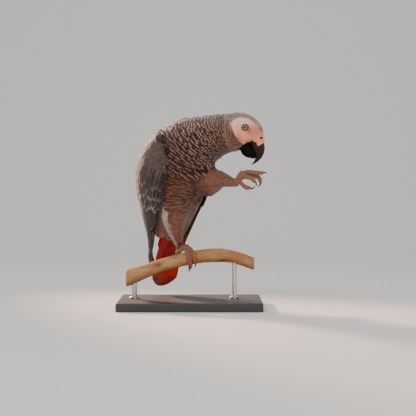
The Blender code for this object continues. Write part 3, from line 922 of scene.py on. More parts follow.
@dataclass(frozen=True)
class FeatherFinish(Finish):
    """Feather vanes: a dark middle, a pale rim, a shaft and fine barbs."""

    rim_from: float = 0.86
    rim_to: float = 0.93
    side_rim: float = 0.7
    streak: float = 0.0
    barbs: float = 34.0
    shaft: float = 0.35
    roughness: float = 0.78
    barb_depth: float = 0.00012

    def paint(self, r: Recipe) -> None:
        """Puts the finish together."""
        along = r.attribute("along")
        across = r.attribute("across")
        tint = r.attribute("tint")
        out = r.math("ABSOLUTE", across)
        tip = r.step(along, self.rim_from, self.rim_to)
        flank = r.times(r.step(out, 0.74, 0.96), r.step(along, 0.4, 0.8))
        rim = r.math("MAXIMUM", tip, r.times(flank, self.side_rim))
        speck = r.noise(r.place(), 900.0, 2.0)
        rim = r.times(rim, r.line(speck, 0.5, 0.74))
        colour = r.colour(rim, r.attribute("core", "Color"), r.attribute("edge", "Color"))
        barb_at = r.line(out, -0.55, along)
        line = r.math("SINE", r.times(barb_at, self.barbs * 2 * math.pi))
        shade = r.line(line, 0.045, tint)
        stem = r.rest(r.step(out, 0.02, 0.075))
        shade = r.line(stem, -self.shaft * 0.5, shade)
        middle = r.rest(r.step(out, 0.05, 0.5))
        shade = r.line(middle, -self.streak, shade)
        colour = r.dimmed(colour, shade)
        height = r.line(line, 0.3, r.times(stem, 1.2))
        normal = r.bump(height, self.barb_depth, 0.8)
        r.settle(Base_Color=colour, Normal=normal, Roughness=self.roughness)
        r.settle(Specular_IOR_Level=0.25, Sheen_Weight=0.25, Sheen_Roughness=0.5)


@dataclass(frozen=True)
class SkinFinish(Finish):
    """Bare skin: fine grain on the face, and small round scales on the legs."""

    name: str = "bird_skin"

    def paint(self, r: Recipe) -> None:
        """Puts the finish together."""
        place = r.place()
        foot = r.attribute("foot")
        grain = r.cells(place, 1500.0, "F1")
        scales = r.cells(place, 620.0)
        crack = r.rest(r.step(scales, 0.0, 0.16))
        blotch = r.noise(place, 160.0, 4.0)
        fine = r.noise(place, 1200.0, 2.0)
        tone = r.line(blotch, 0.36, 0.80)
        tone = r.line(r.math("SUBTRACT", fine, 0.5), 0.25, tone)
        tone = r.line(r.times(crack, foot), -0.42, tone)
        colour = r.dimmed(r.attribute("core", "Color"), tone)
        height = r.line(r.step(scales, 0.0, 0.3), foot, r.times(grain, 0.35))
        normal = r.bump(height, 0.0003, 0.8)
        r.settle(Base_Color=colour, Normal=normal, Roughness=0.58, Specular_IOR_Level=0.35)
        r.settle(Subsurface_Weight=0.08, Subsurface_Radius=(0.004, 0.0016, 0.001), Subsurface_Scale=0.4)


@dataclass(frozen=True)
class HornFinish(Finish):
    """Black horn, satin, with flakes and scratches along it."""

    base: Colour
    worn: Colour
    wear: float = 0.5
    roughness: float = 0.34
    gloss: float = 0.25

    def paint(self, r: Recipe) -> None:
        """Puts the finish together."""
        place = r.place((1.0, 1.0, 0.35))
        broad = r.noise(place, 170.0, 5.0, 0.65)
        fine = r.noise(r.place((1.6, 1.6, 0.4)), 900.0, 3.0)
        worn = r.times(r.step(broad, 0.44, 0.68), self.wear)
        worn = r.line(r.step(fine, 0.55, 0.75), 0.25 * self.wear, worn)
        colour = r.colour(worn, self.base, self.worn)
        skin = r.dimmed(r.attribute("core", "Color"), r.line(broad, 0.5, 0.72))
        cere = r.attribute("cere")
        colour = r.colour(cere, colour, skin)
        normal = r.bump(r.line(fine, 0.4, broad), 0.0003, 0.6)
        rough = r.line(broad, 0.3, self.roughness - 0.12)
        rough = r.line(cere, 0.2, rough)
        r.settle(Base_Color=colour, Normal=normal, Roughness=rough, Specular_IOR_Level=self.gloss)


@dataclass(frozen=True)
class EyeFinish(Finish):
    """A wet eye: a pale iris with rays and a dark pupil and rim, read from the ring attribute."""

    name: str = "eye_glass"
    pupil: float = 1.6
    iris: float = 2.95

    def paint(self, r: Recipe) -> None:
        """Puts the finish together."""
        ring = r.attribute("ring")
        rays = r.noise(r.place(), 2600.0, 3.0)
        pale = r.colour(rays, linear(150, 116, 80), linear(206, 174, 134))
        inner = r.rest(r.step(ring, self.pupil, self.pupil + 0.55))
        outer = r.step(ring, self.iris - 0.55, self.iris)
        colour = r.colour(r.times(inner, 0.8), pale, linear(74, 50, 32))
        colour = r.colour(outer, colour, linear(84, 54, 34))
        dark = r.rest(r.step(ring, self.pupil - 0.15, self.pupil + 0.15))
        colour = r.colour(dark, colour, linear(3, 2, 2))
        r.settle(Base_Color=colour, Roughness=0.25, Specular_IOR_Level=0.12)
        r.settle(Coat_Weight=0.22, Coat_Roughness=0.02)


@dataclass(frozen=True)
class WoodFinish(Finish):
    """Bare, handled branch wood: long grain, darker knots, and rings on the sawn ends."""

    name: str = "bare_wood"

    def paint(self, r: Recipe) -> None:
        """Puts the finish together."""
        pitch = math.radians(-14)
        long_grain = r.noise(r.place((0.10, 1.0, 1.0), pitch), 420.0, 6.0, 0.62)
        broad = r.noise(r.place((0.35, 1.0, 1.0), pitch), 55.0, 4.0)
        blotch = r.noise(r.place(), 38.0, 3.0)
        colour = r.colour(r.step(broad, 0.3, 0.7), linear(146, 100, 58), linear(186, 142, 94))
        colour = r.colour(r.times(r.step(long_grain, 0.46, 0.70), 0.65), colour, linear(118, 80, 50))
        colour = r.colour(r.times(r.step(blotch, 0.50, 0.68), 0.55), colour, linear(168, 104, 48))
        knot = r.attribute("knot")
        colour = r.colour(r.times(knot, 0.85), colour, linear(60, 42, 30))
        ends = r.attribute("ends")
        radius = r.attribute("radius")
        growth = r.math("SINE", r.line(radius, 6.2, r.times(blotch, 4.0)))
        sawn = r.colour(r.line(growth, 0.3, 0.4), linear(206, 172, 128), linear(150, 110, 72))
        colour = r.colour(ends, colour, sawn)
        height = r.line(broad, 1.4, long_grain)
        normal = r.bump(height, 0.0007, 0.55)
        r.settle(Base_Color=colour, Normal=normal, Roughness=0.62, Specular_IOR_Level=0.3)


@dataclass(frozen=True)
class MetalFinish(Finish):
    """Metal with fine brushing."""

    colour: Colour
    roughness: float = 0.32

    def paint(self, r: Recipe) -> None:
        """Puts the finish together."""
        brushed = r.noise(r.place((1.0, 1.0, 0.04)), 3000.0, 2.0)
        smudge = r.noise(r.place(), 60.0, 3.0)
        rough = r.line(smudge, 0.22, self.roughness - 0.1)
        rough = r.line(brushed, 0.1, rough)
        r.settle(Base_Color=(*self.colour, 1.0), Metallic=1.0, Roughness=rough)
        r.settle(Normal=r.bump(brushed, 0.00003, 0.5))


@dataclass(frozen=True)
class BoardFinish(Finish):
    """A matt sprayed board with a faint orange-peel texture."""

    colour: Colour
    roughness: float = 0.55

    def paint(self, r: Recipe) -> None:
        """Puts the finish together."""
        peel = r.noise(r.place(), 700.0, 2.0)
        cloud = r.noise(r.place(), 24.0, 3.0)
        darker = tuple(0.86 * c for c in self.colour)
        colour = r.colour(r.step(cloud, 0.35, 0.7), self.colour, darker)
        rough = r.line(cloud, 0.12, self.roughness - 0.06)
        r.settle(Base_Color=colour, Roughness=rough, Normal=r.bump(peel, 0.00012, 0.35))


@dataclass(frozen=True)
class PaperFinish(Finish):
    """The studio's matt paper."""

    colour: Colour

    def paint(self, r: Recipe) -> None:
        """Puts the finish together."""
        fibre = r.noise(r.place(), 900.0, 2.0)
        r.settle(Base_Color=(*self.colour, 1.0), Roughness=0.9, Specular_IOR_Level=0.1)
        r.settle(Normal=r.bump(fibre, 0.00005, 0.2))


# ---------------------------------------------------------------- vanes


class Grade(Enum):
    """How finely a vane is meshed: rows along it and columns across it."""

    SPECK = (4, 3)
    SMALL = (6, 5)
    BODY = (8, 7)
    COVERT = (12, 7)
    FLIGHT = (26, 9)


@dataclass
class Feathers:
    """The paths of many vanes of one grade: one row of arrays for each feather."""

    centre: Array
    side: Array
    up: Array
    half: Array
    core: Array
    edge: Array
    patch: Array
    tint: Array
    thick: float = 0.00022
    cup: float = 0.12

    @staticmethod
    def joined(parts: Sequence[Feathers]) -> Feathers:
        """Several lots as one."""
        names = ("centre", "side", "up", "half", "core", "edge", "patch", "tint")
        arrays = [np.concatenate([getattr(part, name) for part in parts]) for name in names]
        return Feathers(*arrays, thick=parts[0].thick, cup=parts[0].cup)


def patch_row(count: int) -> Array:
    """Where feathers side by side take their places on the bake map."""
    return np.stack([(np.arange(count) + 0.5) / count, np.full(count, 0.02)], -1)


def row_steps(rows: int) -> Array:
    """Where a vane's rows lie from root, 0, to tip, 1: closer together at the tip."""
    s = np.linspace(0, 1, rows)
    return np.sin(s * math.pi / 2) ** 0.85


def outline(t: Array, shoulder: float = 0.62, root: float = 0.35, power: float = 2.2) -> Array:
    """A vane's half width along it, as a share of its widest: narrow root, rounded tip."""
    rise = root + (1 - root) * np.sin(np.clip(t / shoulder, 0, 1) * math.pi / 2)
    fall = np.clip((t - shoulder) / (1 - shoulder), 0, 1)
    return np.maximum(rise * (1 - fall**power) ** 0.5, 0.10)


class VaneTree(Wiring):
    """The Geometry Nodes tree that lays a closed vane along every path of an object."""

    INPUTS = (
        ("Geometry", "Geometry", None),
        ("Vane", "Object", None),
        ("Rows", "Int", 6),
        ("Thickness", "Float", 0.0002),
        ("Cup", "Float", 0.12),
        ("Fray", "Float", 0.05),
        ("Patch Width", "Float", BAKE_PATCH),
        ("Patch Length", "Float", BAKE_PATCH),
        ("Seed", "Int", 7),
        ("Material", "Material", None),
    )

    def __init__(self) -> None:
        """Builds the tree and keeps its sockets' identifiers."""
        self.tree = bpy.data.node_groups.new("vanes_on_paths", "GeometryNodeTree")
        self.keys: dict[str, str] = {}
        self.templates: dict[Grade, Piece] = {}
        for name, kind, value in self.INPUTS:
            made = self.tree.interface.new_socket(name, in_out="INPUT", socket_type=f"NodeSocket{kind}")
            if value is not None:
                made.default_value = value
            self.keys[name] = made.identifier
        self.tree.interface.new_socket("Geometry", in_out="OUTPUT", socket_type="NodeSocketGeometry")
        self.wire()

    def part(
        self, kind: str, inputs: dict | None = None, output: int | str = 0, **settings: object
    ) -> Socket:
        """An output of a new geometry node."""
        return self.add("GeometryNode" + kind, inputs, **settings).outputs[output]

    def vector(self, operation: str, a: object, b: object) -> Socket:
        """A sum on two vectors, or on a vector and its scale."""
        inputs = {0: a, "Scale" if operation == "SCALE" else 1: b}
        return self.add("ShaderNodeVectorMath", inputs, operation=operation).outputs[0]

    def moved(self, place: object, way: object, reach: object) -> Socket:
        """A place moved some way in a direction."""
        return self.vector("ADD", place, self.vector("SCALE", way, reach))

    def named(self, name: str, kind: str = "FLOAT") -> Socket:
        """A stored attribute."""
        return self.part("InputNamedAttribute", {"Name": name}, data_type=kind)

    def stored(self, geometry: object, name: str, value: object, kind: str, domain: str) -> Socket:
        """Geometry with a value stored on it."""
        inputs = {"Geometry": geometry, "Name": name, "Value": value}
        return self.part("StoreNamedAttribute", inputs, data_type=kind, domain=domain)

    def wire(self) -> None:
        """Joins the nodes up."""
        given = self.add("NodeGroupInput").outputs
        index = self.part("InputIndex")
        paths = self.stored(given["Geometry"], "first", index, "INT", "POINT")
        leads = self.math("COMPARE", self.math("MODULO", index, given["Rows"]), 0.0)
        roots = self.part("SeparateGeometry", {0: paths, 1: leads}, domain="POINT")
        vane = self.part("ObjectInfo", {"Object": given["Vane"]}, "Geometry")
        laid = self.part("InstanceOnPoints", {"Points": roots, "Instance": vane})
        loose = self.part("RealizeInstances", {0: laid})
        here = self.math("ADD", self.named("first", "INT"), self.named("row", "INT"))

        def on_path(value: Socket, kind: str = "FLOAT_VECTOR") -> Socket:
            inputs = {"Geometry": paths, "Value": value, "Index": here}
            return self.part("SampleIndex", inputs, data_type=kind, domain="POINT")

        centre = on_path(self.part("InputPosition"))
        side, up = (on_path(self.named(name, "FLOAT_VECTOR")) for name in ("side", "up"))
        half = on_path(self.named("half"), "FLOAT")
        across = self.named("across")
        height = self.times(self.named("height"), given["Thickness"])
        sag = self.times(self.times(across, across), self.times(half, given["Cup"]))
        place = self.moved(centre, side, self.times(across, half))
        place = self.moved(place, up, self.math("SUBTRACT", height, sag))
        inputs = {2: -1.0, 3: 1.0, "ID": self.part("InputIndex"), "Seed": given["Seed"]}
        ragged = self.add("FunctionNodeRandomValue", inputs, data_type="FLOAT").outputs[1]
        torn = self.times(self.times(ragged, self.named("rim")), self.times(half, given["Fray"]))
        place = self.moved(place, self.vector("CROSS_PRODUCT", side, up), torn)
        shaped = self.part("SetPosition", {"Geometry": loose, "Position": place})
        wide = self.times(self.times(across, 0.5), given["Patch Width"])
        long = self.times(self.named("along"), given["Patch Length"])
        flat = self.add("ShaderNodeCombineXYZ", {0: wide, 1: long}).outputs[0]
        flat = self.vector("ADD", self.named("patch", "FLOAT_VECTOR"), flat)
        mapped = self.stored(shaped, BAKE_MAP, flat, "FLOAT2", "CORNER")
        for name in ("first", "row", "side", "up", "half", "height", "rim", "patch"):
            mapped = self.part("RemoveAttribute", {"Geometry": mapped, "Name": name})
        dressed = self.part("SetMaterial", {"Geometry": mapped, "Material": given["Material"]})
        self.add("NodeGroupOutput", {0: dressed})

    def template(self, grade: Grade) -> Piece:
        """The unit vane of a grade: two sheets that share their rim, with its own coordinates."""
        if grade in self.templates:
            return self.templates[grade]
        rows, columns = grade.value
        steps = row_steps(rows)
        points = []
        facts = []
        index = {}

        def on_rim(i: int, j: int) -> bool:
            return i in (0, rows - 1) or j in (0, columns - 1)

        for level, i, j in product((1, -1), range(rows), range(columns)):
            if level == -1 and on_rim(i, j):
                index[level, i, j] = index[1, i, j]
                continue
            across = -1 + 2 * j / (columns - 1)
            index[level, i, j] = len(points)
            points.append((steps[i], across, 0.0))
            height = 0.0 if on_rim(i, j) else level * (1 - across * across)
            facts.append((i, across, steps[i], height, float(on_rim(i, j) and i >= rows // 2)))
        faces = []
        for level, i, j in product((1, -1), range(rows - 1), range(columns - 1)):
            quad = [index[level, i + a, j + b] for a, b in ((0, 0), (1, 0), (1, 1), (0, 1))]
            faces.append(quad[::level])
        mesh = bpy.data.meshes.new(f"vane_{grade.name.lower()}")
        mesh.from_pydata(points, [], faces)
        mesh.shade_smooth()
        rim_points = {index[1, i, j] for i, j in product(range(rows), range(columns)) if on_rim(i, j)}
        for edge in mesh.edges:
            edge.use_edge_sharp = all(v in rim_points for v in edge.vertices)
        facts = np.array(facts)
        set_attribute(mesh, "row", "INT", facts[:, 0])
        for column, name in ((1, "across"), (2, "along"), (3, "height"), (4, "rim")):
            set_attribute(mesh, name, "FLOAT", facts[:, column])
        made = bpy.data.objects.new(mesh.name, mesh)
        self.templates[grade] = made
        return made

    def lay(
        self,
        name: str,
        feathers: Feathers,
        grade: Grade,
        material: Material,
        fray: float = 0.05,
        patch: tuple[float, float] = (BAKE_PATCH, BAKE_PATCH),
    ) -> Piece:
        """Makes one piece of closed vanes along the feathers' paths.

        Args:
            name: The piece's name.
            feathers: The paths, whose rows match the grade.
            grade: How finely the vanes are meshed.
            material: Their material.
            fray: How ragged their rims are, as a share of the half width.
            patch: The width and length of each vane's place on the bake map.

        Returns:
            The piece, a plain mesh.
        """
        rows = feathers.half.shape[1]
        mesh = bpy.data.meshes.new(name)
        mesh.from_pydata(feathers.centre.reshape(-1, 3), [], [])
        patches = np.column_stack([feathers.patch, np.zeros(len(feathers.patch))])
        set_attribute(mesh, "side", "FLOAT_VECTOR", feathers.side.reshape(-1, 3))
        set_attribute(mesh, "up", "FLOAT_VECTOR", feathers.up.reshape(-1, 3))
        set_attribute(mesh, "half", "FLOAT", feathers.half.ravel())
        set_attribute(mesh, "tint", "FLOAT", np.repeat(feathers.tint, rows))
        for key, kind, values in (
            ("core", "FLOAT_COLOR", feathers.core),
            ("edge", "FLOAT_COLOR", feathers.edge),
            ("patch", "FLOAT_VECTOR", patches),
        ):
            set_attribute(mesh, key, kind, np.repeat(values, rows, axis=0))
        piece = add_piece(name, mesh)
        modifier = piece.modifiers.new("vanes", "NODES")
        modifier.node_group = self.tree
        values = {
            "Vane": self.template(grade),
            "Rows": rows,
            "Thickness": feathers.thick,
            "Cup": feathers.cup,
            "Fray": fray,
            "Patch Width": patch[0],
            "Patch Length": patch[1],
            "Seed": sum(map(ord, name)) % 1000,
            "Material": material,
        }
        for key, value in values.items():
            modifier[self.keys[key]] = value
        return applied(piece)


@dataclass
class Growth:
    """How a lot of feathers grows out of a surface."""

    surface: Surface
    grade: Grade
    seed: int
    cup: float = 0.12
    thick: float = 0.00022
    shoulder: float = 0.62
    root: float = 0.35
    wander: float = 5.0
    roll: float = 4.0
    # A path is torn where it steps too far, turns too sharply, or its ends face apart.
    step_limit: float = 1.9
    turn_limit: float = 0.5
    ends_limit: float = 0.1

    def grow(
        self,
        roots: Array,
        lies: Array,
        lengths: Array,
        halves: Array,
        low: float,
        high: Array,
        shades: Shades,
        patch: Array,
    ) -> Feathers:
        """Paths of vanes that leave the surface slowly from root to tip.

        Args:
            roots: Places on the surface (n, 3).
            lies: Directions that the feathers point in.
            lengths: Their lengths.
            halves: Their half widths.
            low: The height of their roots over the surface.
            high: The height of each tip.
            shades: Colours of their middles and rims.
            patch: Where each takes its place on the bake map.

        Returns:
            The feathers.
        """
        rng = np.random.default_rng(self.seed)
        count = len(roots)
        rows, _ = self.grade.value
        t = row_steps(rows)
        _, normals, _ = self.surface.nearest(roots)
        normals = unit(normals)
        lies = unit(lies - normals * (lies * normals).sum(-1, keepdims=True))
        sides = np.cross(normals, lies)
        stray = np.radians(rng.normal(0, self.wander, count))[:, None]
        lies = lies * np.cos(stray) + sides * np.sin(stray)
        lengths = lengths * rng.uniform(0.9, 1.1, count)
        near = np.empty((count, rows, 3))
        face = np.empty((count, rows, 3))
        torn = np.ones(count, bool)
        for share in (1.0, 0.7, 0.5):
            lengths = np.where(torn, lengths * share, lengths)
            halves = np.where(torn, halves * (0.5 + 0.5 * share), halves)
            pick = np.flatnonzero(torn)
            guess = roots[pick, None, :] + lies[pick, None, :] * (lengths[pick, None] * t[None])[..., None]
            found, facing, _ = self.surface.nearest(guess.reshape(-1, 3))
            near[pick] = found.reshape(-1, rows, 3)
            face[pick] = unit(facing.reshape(-1, rows, 3))
            steps = np.linalg.norm(np.diff(near, axis=1), axis=2) / (lengths[:, None] * np.diff(t)[None])
            turns = (face[:, 1:] * face[:, :-1]).sum(-1).min(1)
            ends = (face[:, 0] * face[:, -1]).sum(-1)
            torn = (steps.max(1) > self.step_limit) | (turns < self.turn_limit) | (ends < self.ends_limit)
            if not torn.any():
                break
        arrays = (near, face, halves, high, *shades, patch)
        near, face, halves, high, core, edge, patch = (values[~torn] for values in arrays)
        count = len(near)
        for _ in range(2):
            face[:, 1:-1] = unit(face[:, :-2] + face[:, 1:-1] * 2 + face[:, 2:])
        rise = (low + (high - low)[:, None] * t[None] ** 1.15) * rng.uniform(0.88, 1.1, (count, 1))
        centre = near + face * rise[..., None]
        ahead = unit(np.gradient(centre, axis=1))
        side = unit(np.cross(face, ahead))
        up = unit(np.cross(ahead, side))
        lean = np.radians(rng.normal(0, self.roll, count))[:, None, None]
        side, up = side * np.cos(lean) + up * np.sin(lean), up * np.cos(lean) - side * np.sin(lean)
        half = halves[:, None] * outline(t, self.shoulder, self.root)[None]
        half = half * rng.uniform(0.92, 1.08, (count, 1))
        tint = rng.normal(1.0, 0.07, count).clip(0.8, 1.2)
        return Feathers(centre, side, up, half, core, edge, patch, tint, self.thick, self.cup)


# ---------------------------------------------------------------- the skin


@dataclass
class Skin:
    """The one skin under the coat: the flesh nodes joined, drawn in by the coat's depth."""

    nodes: dict
    marks: Markings
    eyes: dict[str, Vector]
    wing_charts: dict[str, Chart]
    voxel: float = 0.56 * MM
    grow: float = 0.2 * MM
    eyeball: float = 5.3 * MM
    shoulder: float = 8.0 * MM
    opening: float = 3.45 * MM
    target: int = 92000
    wing_share: float = 1.4 * MM
    soft_rounds: int = 140
    # Swellings of the cere and the gape: forward of the eyes, above them, and half sizes.
    swellings: tuple[tuple[float, ...], ...] = (
        (15.6, -13.8, 8.6, 8.6, 6.0),
        (6.6, -21.0, 4.4, 4.2, 3.4),
    )
    depths: tuple[tuple[tuple[str, ...], float], ...] = (
        (("belly",), 3.0 * MM),
        (("breast",), 2.7 * MM),
        (("neck",), 1.9 * MM),
        (("head",), 0.8 * MM),
        (THIGH_NODES, 1.8 * MM),
        (WING_NODES, 2.0 * MM),
        (("undertail",), 2.0 * MM),
        (FOOT_NODES, 0.1 * MM),
    )
    parts: dict[tuple[str, ...], Surface] = field(default_factory=dict)
    rooted: list[Array] = field(default_factory=list)

    REPLACED = BODY_NODES + THIGH_NODES + FOOT_NODES + WING_NODES + ("undertail",)

    def build(self) -> Piece:
        """Makes the skin and keeps its surface for the coat.

        Returns:
            The piece.
        """
        bm = merged_copy(self.REPLACED, self.nodes, self.grow)
        for eye in self.eyes.values():
            add_ball(bm, 3, eye, (self.eyeball,) * 3)
        for chart in self.wing_charts.values():
            joint = Vector(chart.at(np.array([7.9]), np.array([0.6]))[0])
            add_ball(bm, 3, joint.lerp(Vector(SPINE[SHOULDER_ROW][:3]), 0.22), (self.shoulder,) * 3)
        for ahead, above, *half in self.swellings:
            centre = self.marks.middle + self.marks.forward * (ahead * MM) + UP * (above * MM)
            add_ball(bm, 4, centre, tuple(size * MM for size in half))
        piece = remeshed("skin", bm, self.voxel, 3)
        self.keep_largest(piece)
        self.thin_under_feathers(piece)
        self.soften_joints(piece)
        self.draw_in(piece)
        self.refine_face(piece)
        self.shape_face(piece)
        self.open_eyes(piece)
        self.colour(piece)
        mesh = piece.data
        mesh.calc_loop_triangles()
        triangles = np.empty(len(mesh.loop_triangles) * 3, np.int32)
        mesh.loop_triangles.foreach_get("vertices", triangles)
        self.places = vertex_arrays(mesh)[0]
        self.triangles = triangles.reshape(-1, 3)
        self.surface = Surface(self.places, self.triangles.tolist())
        return finish_piece(piece, self.REPLACED, SkinFinish().material())

    def keep_largest(self, piece: Piece) -> None:
        """Deletes closed voids and crumbs, keeping the one outer surface."""
        with opened(piece) as bm:
            seen = set()
            islands = []
            for vertex in bm.verts:
                if vertex.index in seen:
                    continue
                seen.add(vertex.index)
                island = [vertex]
                for one in island:  # The list grows while it is walked.
                    for edge in one.link_edges:
                        other = edge.other_vert(one)
                        if other.index not in seen:
                            seen.add(other.index)
                            island.append(other)
                islands.append(island)
            islands.sort(key=len, reverse=True)
            LOG.info("skin islands: %s", [len(island) for island in islands][:6])
            crumbs = [vertex for island in islands[1:] for vertex in island]
            bmesh.ops.delete(bm, geom=crumbs, context="VERTS")

    def foot_share(self, points: Array) -> Array:
        """How much each point belongs to the bare feet, from 0 to 1."""
        share = np.zeros(len(points))
        index = np.flatnonzero(in_boxes(points, FOOT_NODES, 1.5 * MM))
        to_feet, to_thighs = (self.part(names).gaps(points[index]) for names in (FOOT_NODES, THIGH_NODES))
        share[index] = smooth(to_thighs - to_feet, -0.4 * MM, 0.6 * MM)
        return share

    def part(self, names: tuple[str, ...]) -> Surface:
        """The surface of a group of nodes, built once."""
        if names not in self.parts:
            self.parts[names] = surface_of(names, self.nodes)
        return self.parts[names]

    def owner(self, points: Array) -> Array:
        """Which part each point belongs to: 0 body, 1 thighs, 2 wings, 3 undertail, 4 feet."""
        groups = (BODY_NODES, THIGH_NODES, WING_NODES, ("undertail",), FOOT_NODES)
        gaps = np.stack([self.part(names).gaps(points) for names in groups])
        gaps[2] -= self.wing_share
        return gaps.argmin(0)

    def under_wing(self, points: Array) -> Array:
        """Which points lie close beneath a folded wing's outer side."""
        under = np.zeros(len(points), bool)
        for chart in self.wing_charts.values():
            inner = Chart(chart.first[2:60], chart.second[2:-2], chart.places[2:60, 2:-2])
            near, facing, gaps = Surface(*chart_mesh(inner)).nearest(points)
            along = np.abs((unit(points - near) * unit(facing)).sum(-1))
            under |= (gaps < 7.5 * MM) & (along > 0.9)
        return under

    def thin_under_feathers(self, piece: Piece) -> None:
        """Reduces the mesh where the coat hides it, and leaves the face and feet fine."""
        points, _ = vertex_arrays(piece.data)
        bare = np.maximum(self.marks.face(points), self.foot_share(points))
        group = piece.vertex_groups.new(name="hidden")
        for weight in (0.0, 1.0):
            chosen = np.flatnonzero((bare < 0.5) == (weight > 0.5))
            group.add(chosen.tolist(), weight, "REPLACE")
        reduce = piece.modifiers.new("reduce", "DECIMATE")
        piece.data.calc_loop_triangles()
        reduce.ratio = min(1.0, self.target / len(piece.data.loop_triangles))
        reduce.vertex_group = "hidden"
        applied(piece)

    def soften_joints(self, piece: Piece) -> None:
        """Smooths the creases where the thighs leave the body."""
        mesh = piece.data
        points, _ = vertex_arrays(mesh)
        apart = np.maximum(self.part(BODY_NODES).gaps(points), self.part(THIGH_NODES).gaps(points))
        forward, above = self.marks.head_view(points)
        beak = 1 - smooth(np.hypot(forward - 16.0, above + 12.0), 6.0, 12.0)
        share = 0.5 * np.maximum(1 - smooth(apart, 5 * MM, 11 * MM), 0.35 * beak)[:, None]
        mean = neighbour_means(mesh)
        for _ in range(self.soft_rounds):
            points = points * (1 - share) + np.stack([mean(values) for values in points.T], -1) * share
        set_places(mesh, points)

    def draw_in(self, piece: Piece) -> None:
        """Moves the skin inwards by the depth of the coat that it carries."""
        mesh = piece.data
        points, normals = vertex_arrays(mesh)
        nearest = np.full(len(points), FAR)
        depth = np.zeros(len(points))
        for names, value in self.depths:
            gaps = self.part(names).gaps(points)
            closer = gaps < nearest
            nearest[closer] = gaps[closer]
            depth[closer] = value
        face = self.marks.face(points)
        depth = depth * (1 - face) + 0.12 * MM * face
        tree = Surface(points, [list(p.vertices) for p in mesh.polygons])
        for i in np.flatnonzero(depth > 0.3 * MM):
            start = Vector(points[i] - normals[i] * 0.05 * MM)
            hit = tree.cast(start, Vector(-normals[i]), 0.012)
            if hit:
                depth[i] = min(depth[i], 0.36 * (hit - start).length)
        mean = neighbour_means(mesh)
        for _ in range(5):
            depth = 0.5 * depth + 0.5 * mean(depth)
        set_places(mesh, points - normals * depth[:, None])

    def refine_face(self, piece: Piece) -> None:
        """Cuts the bare face into finer faces, for its wrinkles."""
        with opened(piece) as bm:
            face = self.marks.face(np.array([v.co for v in bm.verts])) > 0.02
            edges = [e for e in bm.edges if face[e.verts[0].index] and face[e.verts[1].index]]
            bmesh.ops.subdivide_edges(bm, edges=edges, cuts=1, smooth=0.4)
            bmesh.ops.triangulate(bm, faces=[f for f in bm.faces if len(f.verts) > 4])

    def shape_face(self, piece: Piece) -> None:
        """Raises the fine wrinkles round the eyes and below them."""
        points, normals = vertex_arrays(piece.data)
        forward, above = self.marks.head_view(points)
        face = self.marks.face(points)
        radius = np.hypot(forward, above)
        swirl = radius + 0.35 * ripple(forward * 0.5, above * 0.5, 4.0)
        rings = np.sin(swirl * 2 * math.pi / 1.35) * np.exp(-((radius - 6.5) / 3.2) ** 2)
        low = self.marks.wrinkles(forward, above)
        pebble = ripple(forward * 2.9, above * 3.1, 0.5)
        gap = self.marks.nostril_gap(points)
        pit = 0.22 * np.exp(-((gap - 2.1) / 0.6) ** 2) - 1.3 * (1 - smooth(gap, 0.5, 1.6))
        raise_by = 0.07 * rings + 0.09 * low + 0.035 * pebble + pit
        set_places(piece.data, points + normals * (raise_by * face * MM)[:, None])

    def open_eyes(self, piece: Piece) -> None:
        """Cuts a round opening over each eyeball and trues its rim."""

        def split(vertex: bmesh.types.BMVert, eye: Vector, axis: Vector) -> tuple[float, Vector]:
            offset = vertex.co - eye
            reach = offset.dot(axis)
            return reach, offset - axis * reach

        with opened(piece) as bm:
            for side, eye in self.eyes.items():
                axis = self.marks.outward(side)
                doomed = []
                for vertex in bm.verts:
                    reach, flat = split(vertex, eye, axis)
                    if reach > 0 and flat.length < self.opening + 0.35 * MM:
                        doomed.append(vertex)
                bmesh.ops.delete(bm, geom=doomed, context="VERTS")
                for vertex in (v for edge in bm.edges if len(edge.link_faces) == 1 for v in edge.verts):
                    reach, flat = split(vertex, eye, axis)
                    if reach > 0 and flat.length < self.opening * 1.6:
                        vertex.co = eye + axis * reach + flat.normalized() * (self.opening + 0.45 * MM)

    def colour(self, piece: Piece) -> None:
        """Stores the markings on the skin."""
        points, _ = vertex_arrays(piece.data)
        feet = self.foot_share(points)
        set_attribute(piece.data, "foot", "FLOAT", feet)
        shade = self.marks.skin_colour(points, feet)
        red = self.part(("undertail",)).gaps(points) < 3.2 * MM
        shade[red & (feet < 0.1)] = linear(120, 12, 6)
        set_attribute(piece.data, "core", "FLOAT_COLOR", shade)

    def scatter(self, count: int, seed: int, wanted: Callable) -> tuple[Array, Array]:
        """Random points on the skin.

        Args:
            count: How many are thrown before any is refused.
            seed: The seed.
            wanted: Takes points (n, 3) and says which are kept.

        Returns:
            The points and their normals.
        """
        rng = np.random.default_rng(seed)
        corners = self.places[self.triangles]
        cross = np.cross(corners[:, 1] - corners[:, 0], corners[:, 2] - corners[:, 0])
        area = np.linalg.norm(cross, axis=1) * wanted(corners.mean(1))
        pick = rng.choice(len(area), count, p=area / area.sum())
        a, b = rng.random((2, count, 1))
        turned = a + b > 1
        a = np.where(turned, 1 - a, a)
        b = np.where(turned, 1 - b, b)
        chosen = corners[pick]
        points = chosen[:, 0] * (1 - a - b) + chosen[:, 1] * a + chosen[:, 2] * b
        return points, unit(cross[pick])

    def hidden(self, points: Array, normals: Array, reach: float) -> Array:
        """Which points another part of the skin covers closely."""
        covered = np.zeros(len(points), bool)
        for i, (point, normal) in enumerate(zip(points, normals)):
            start = Vector(point + normal * 0.6 * MM)
            covered[i] = self.surface.cast(start, Vector(normal), reach) is not None
        return covered


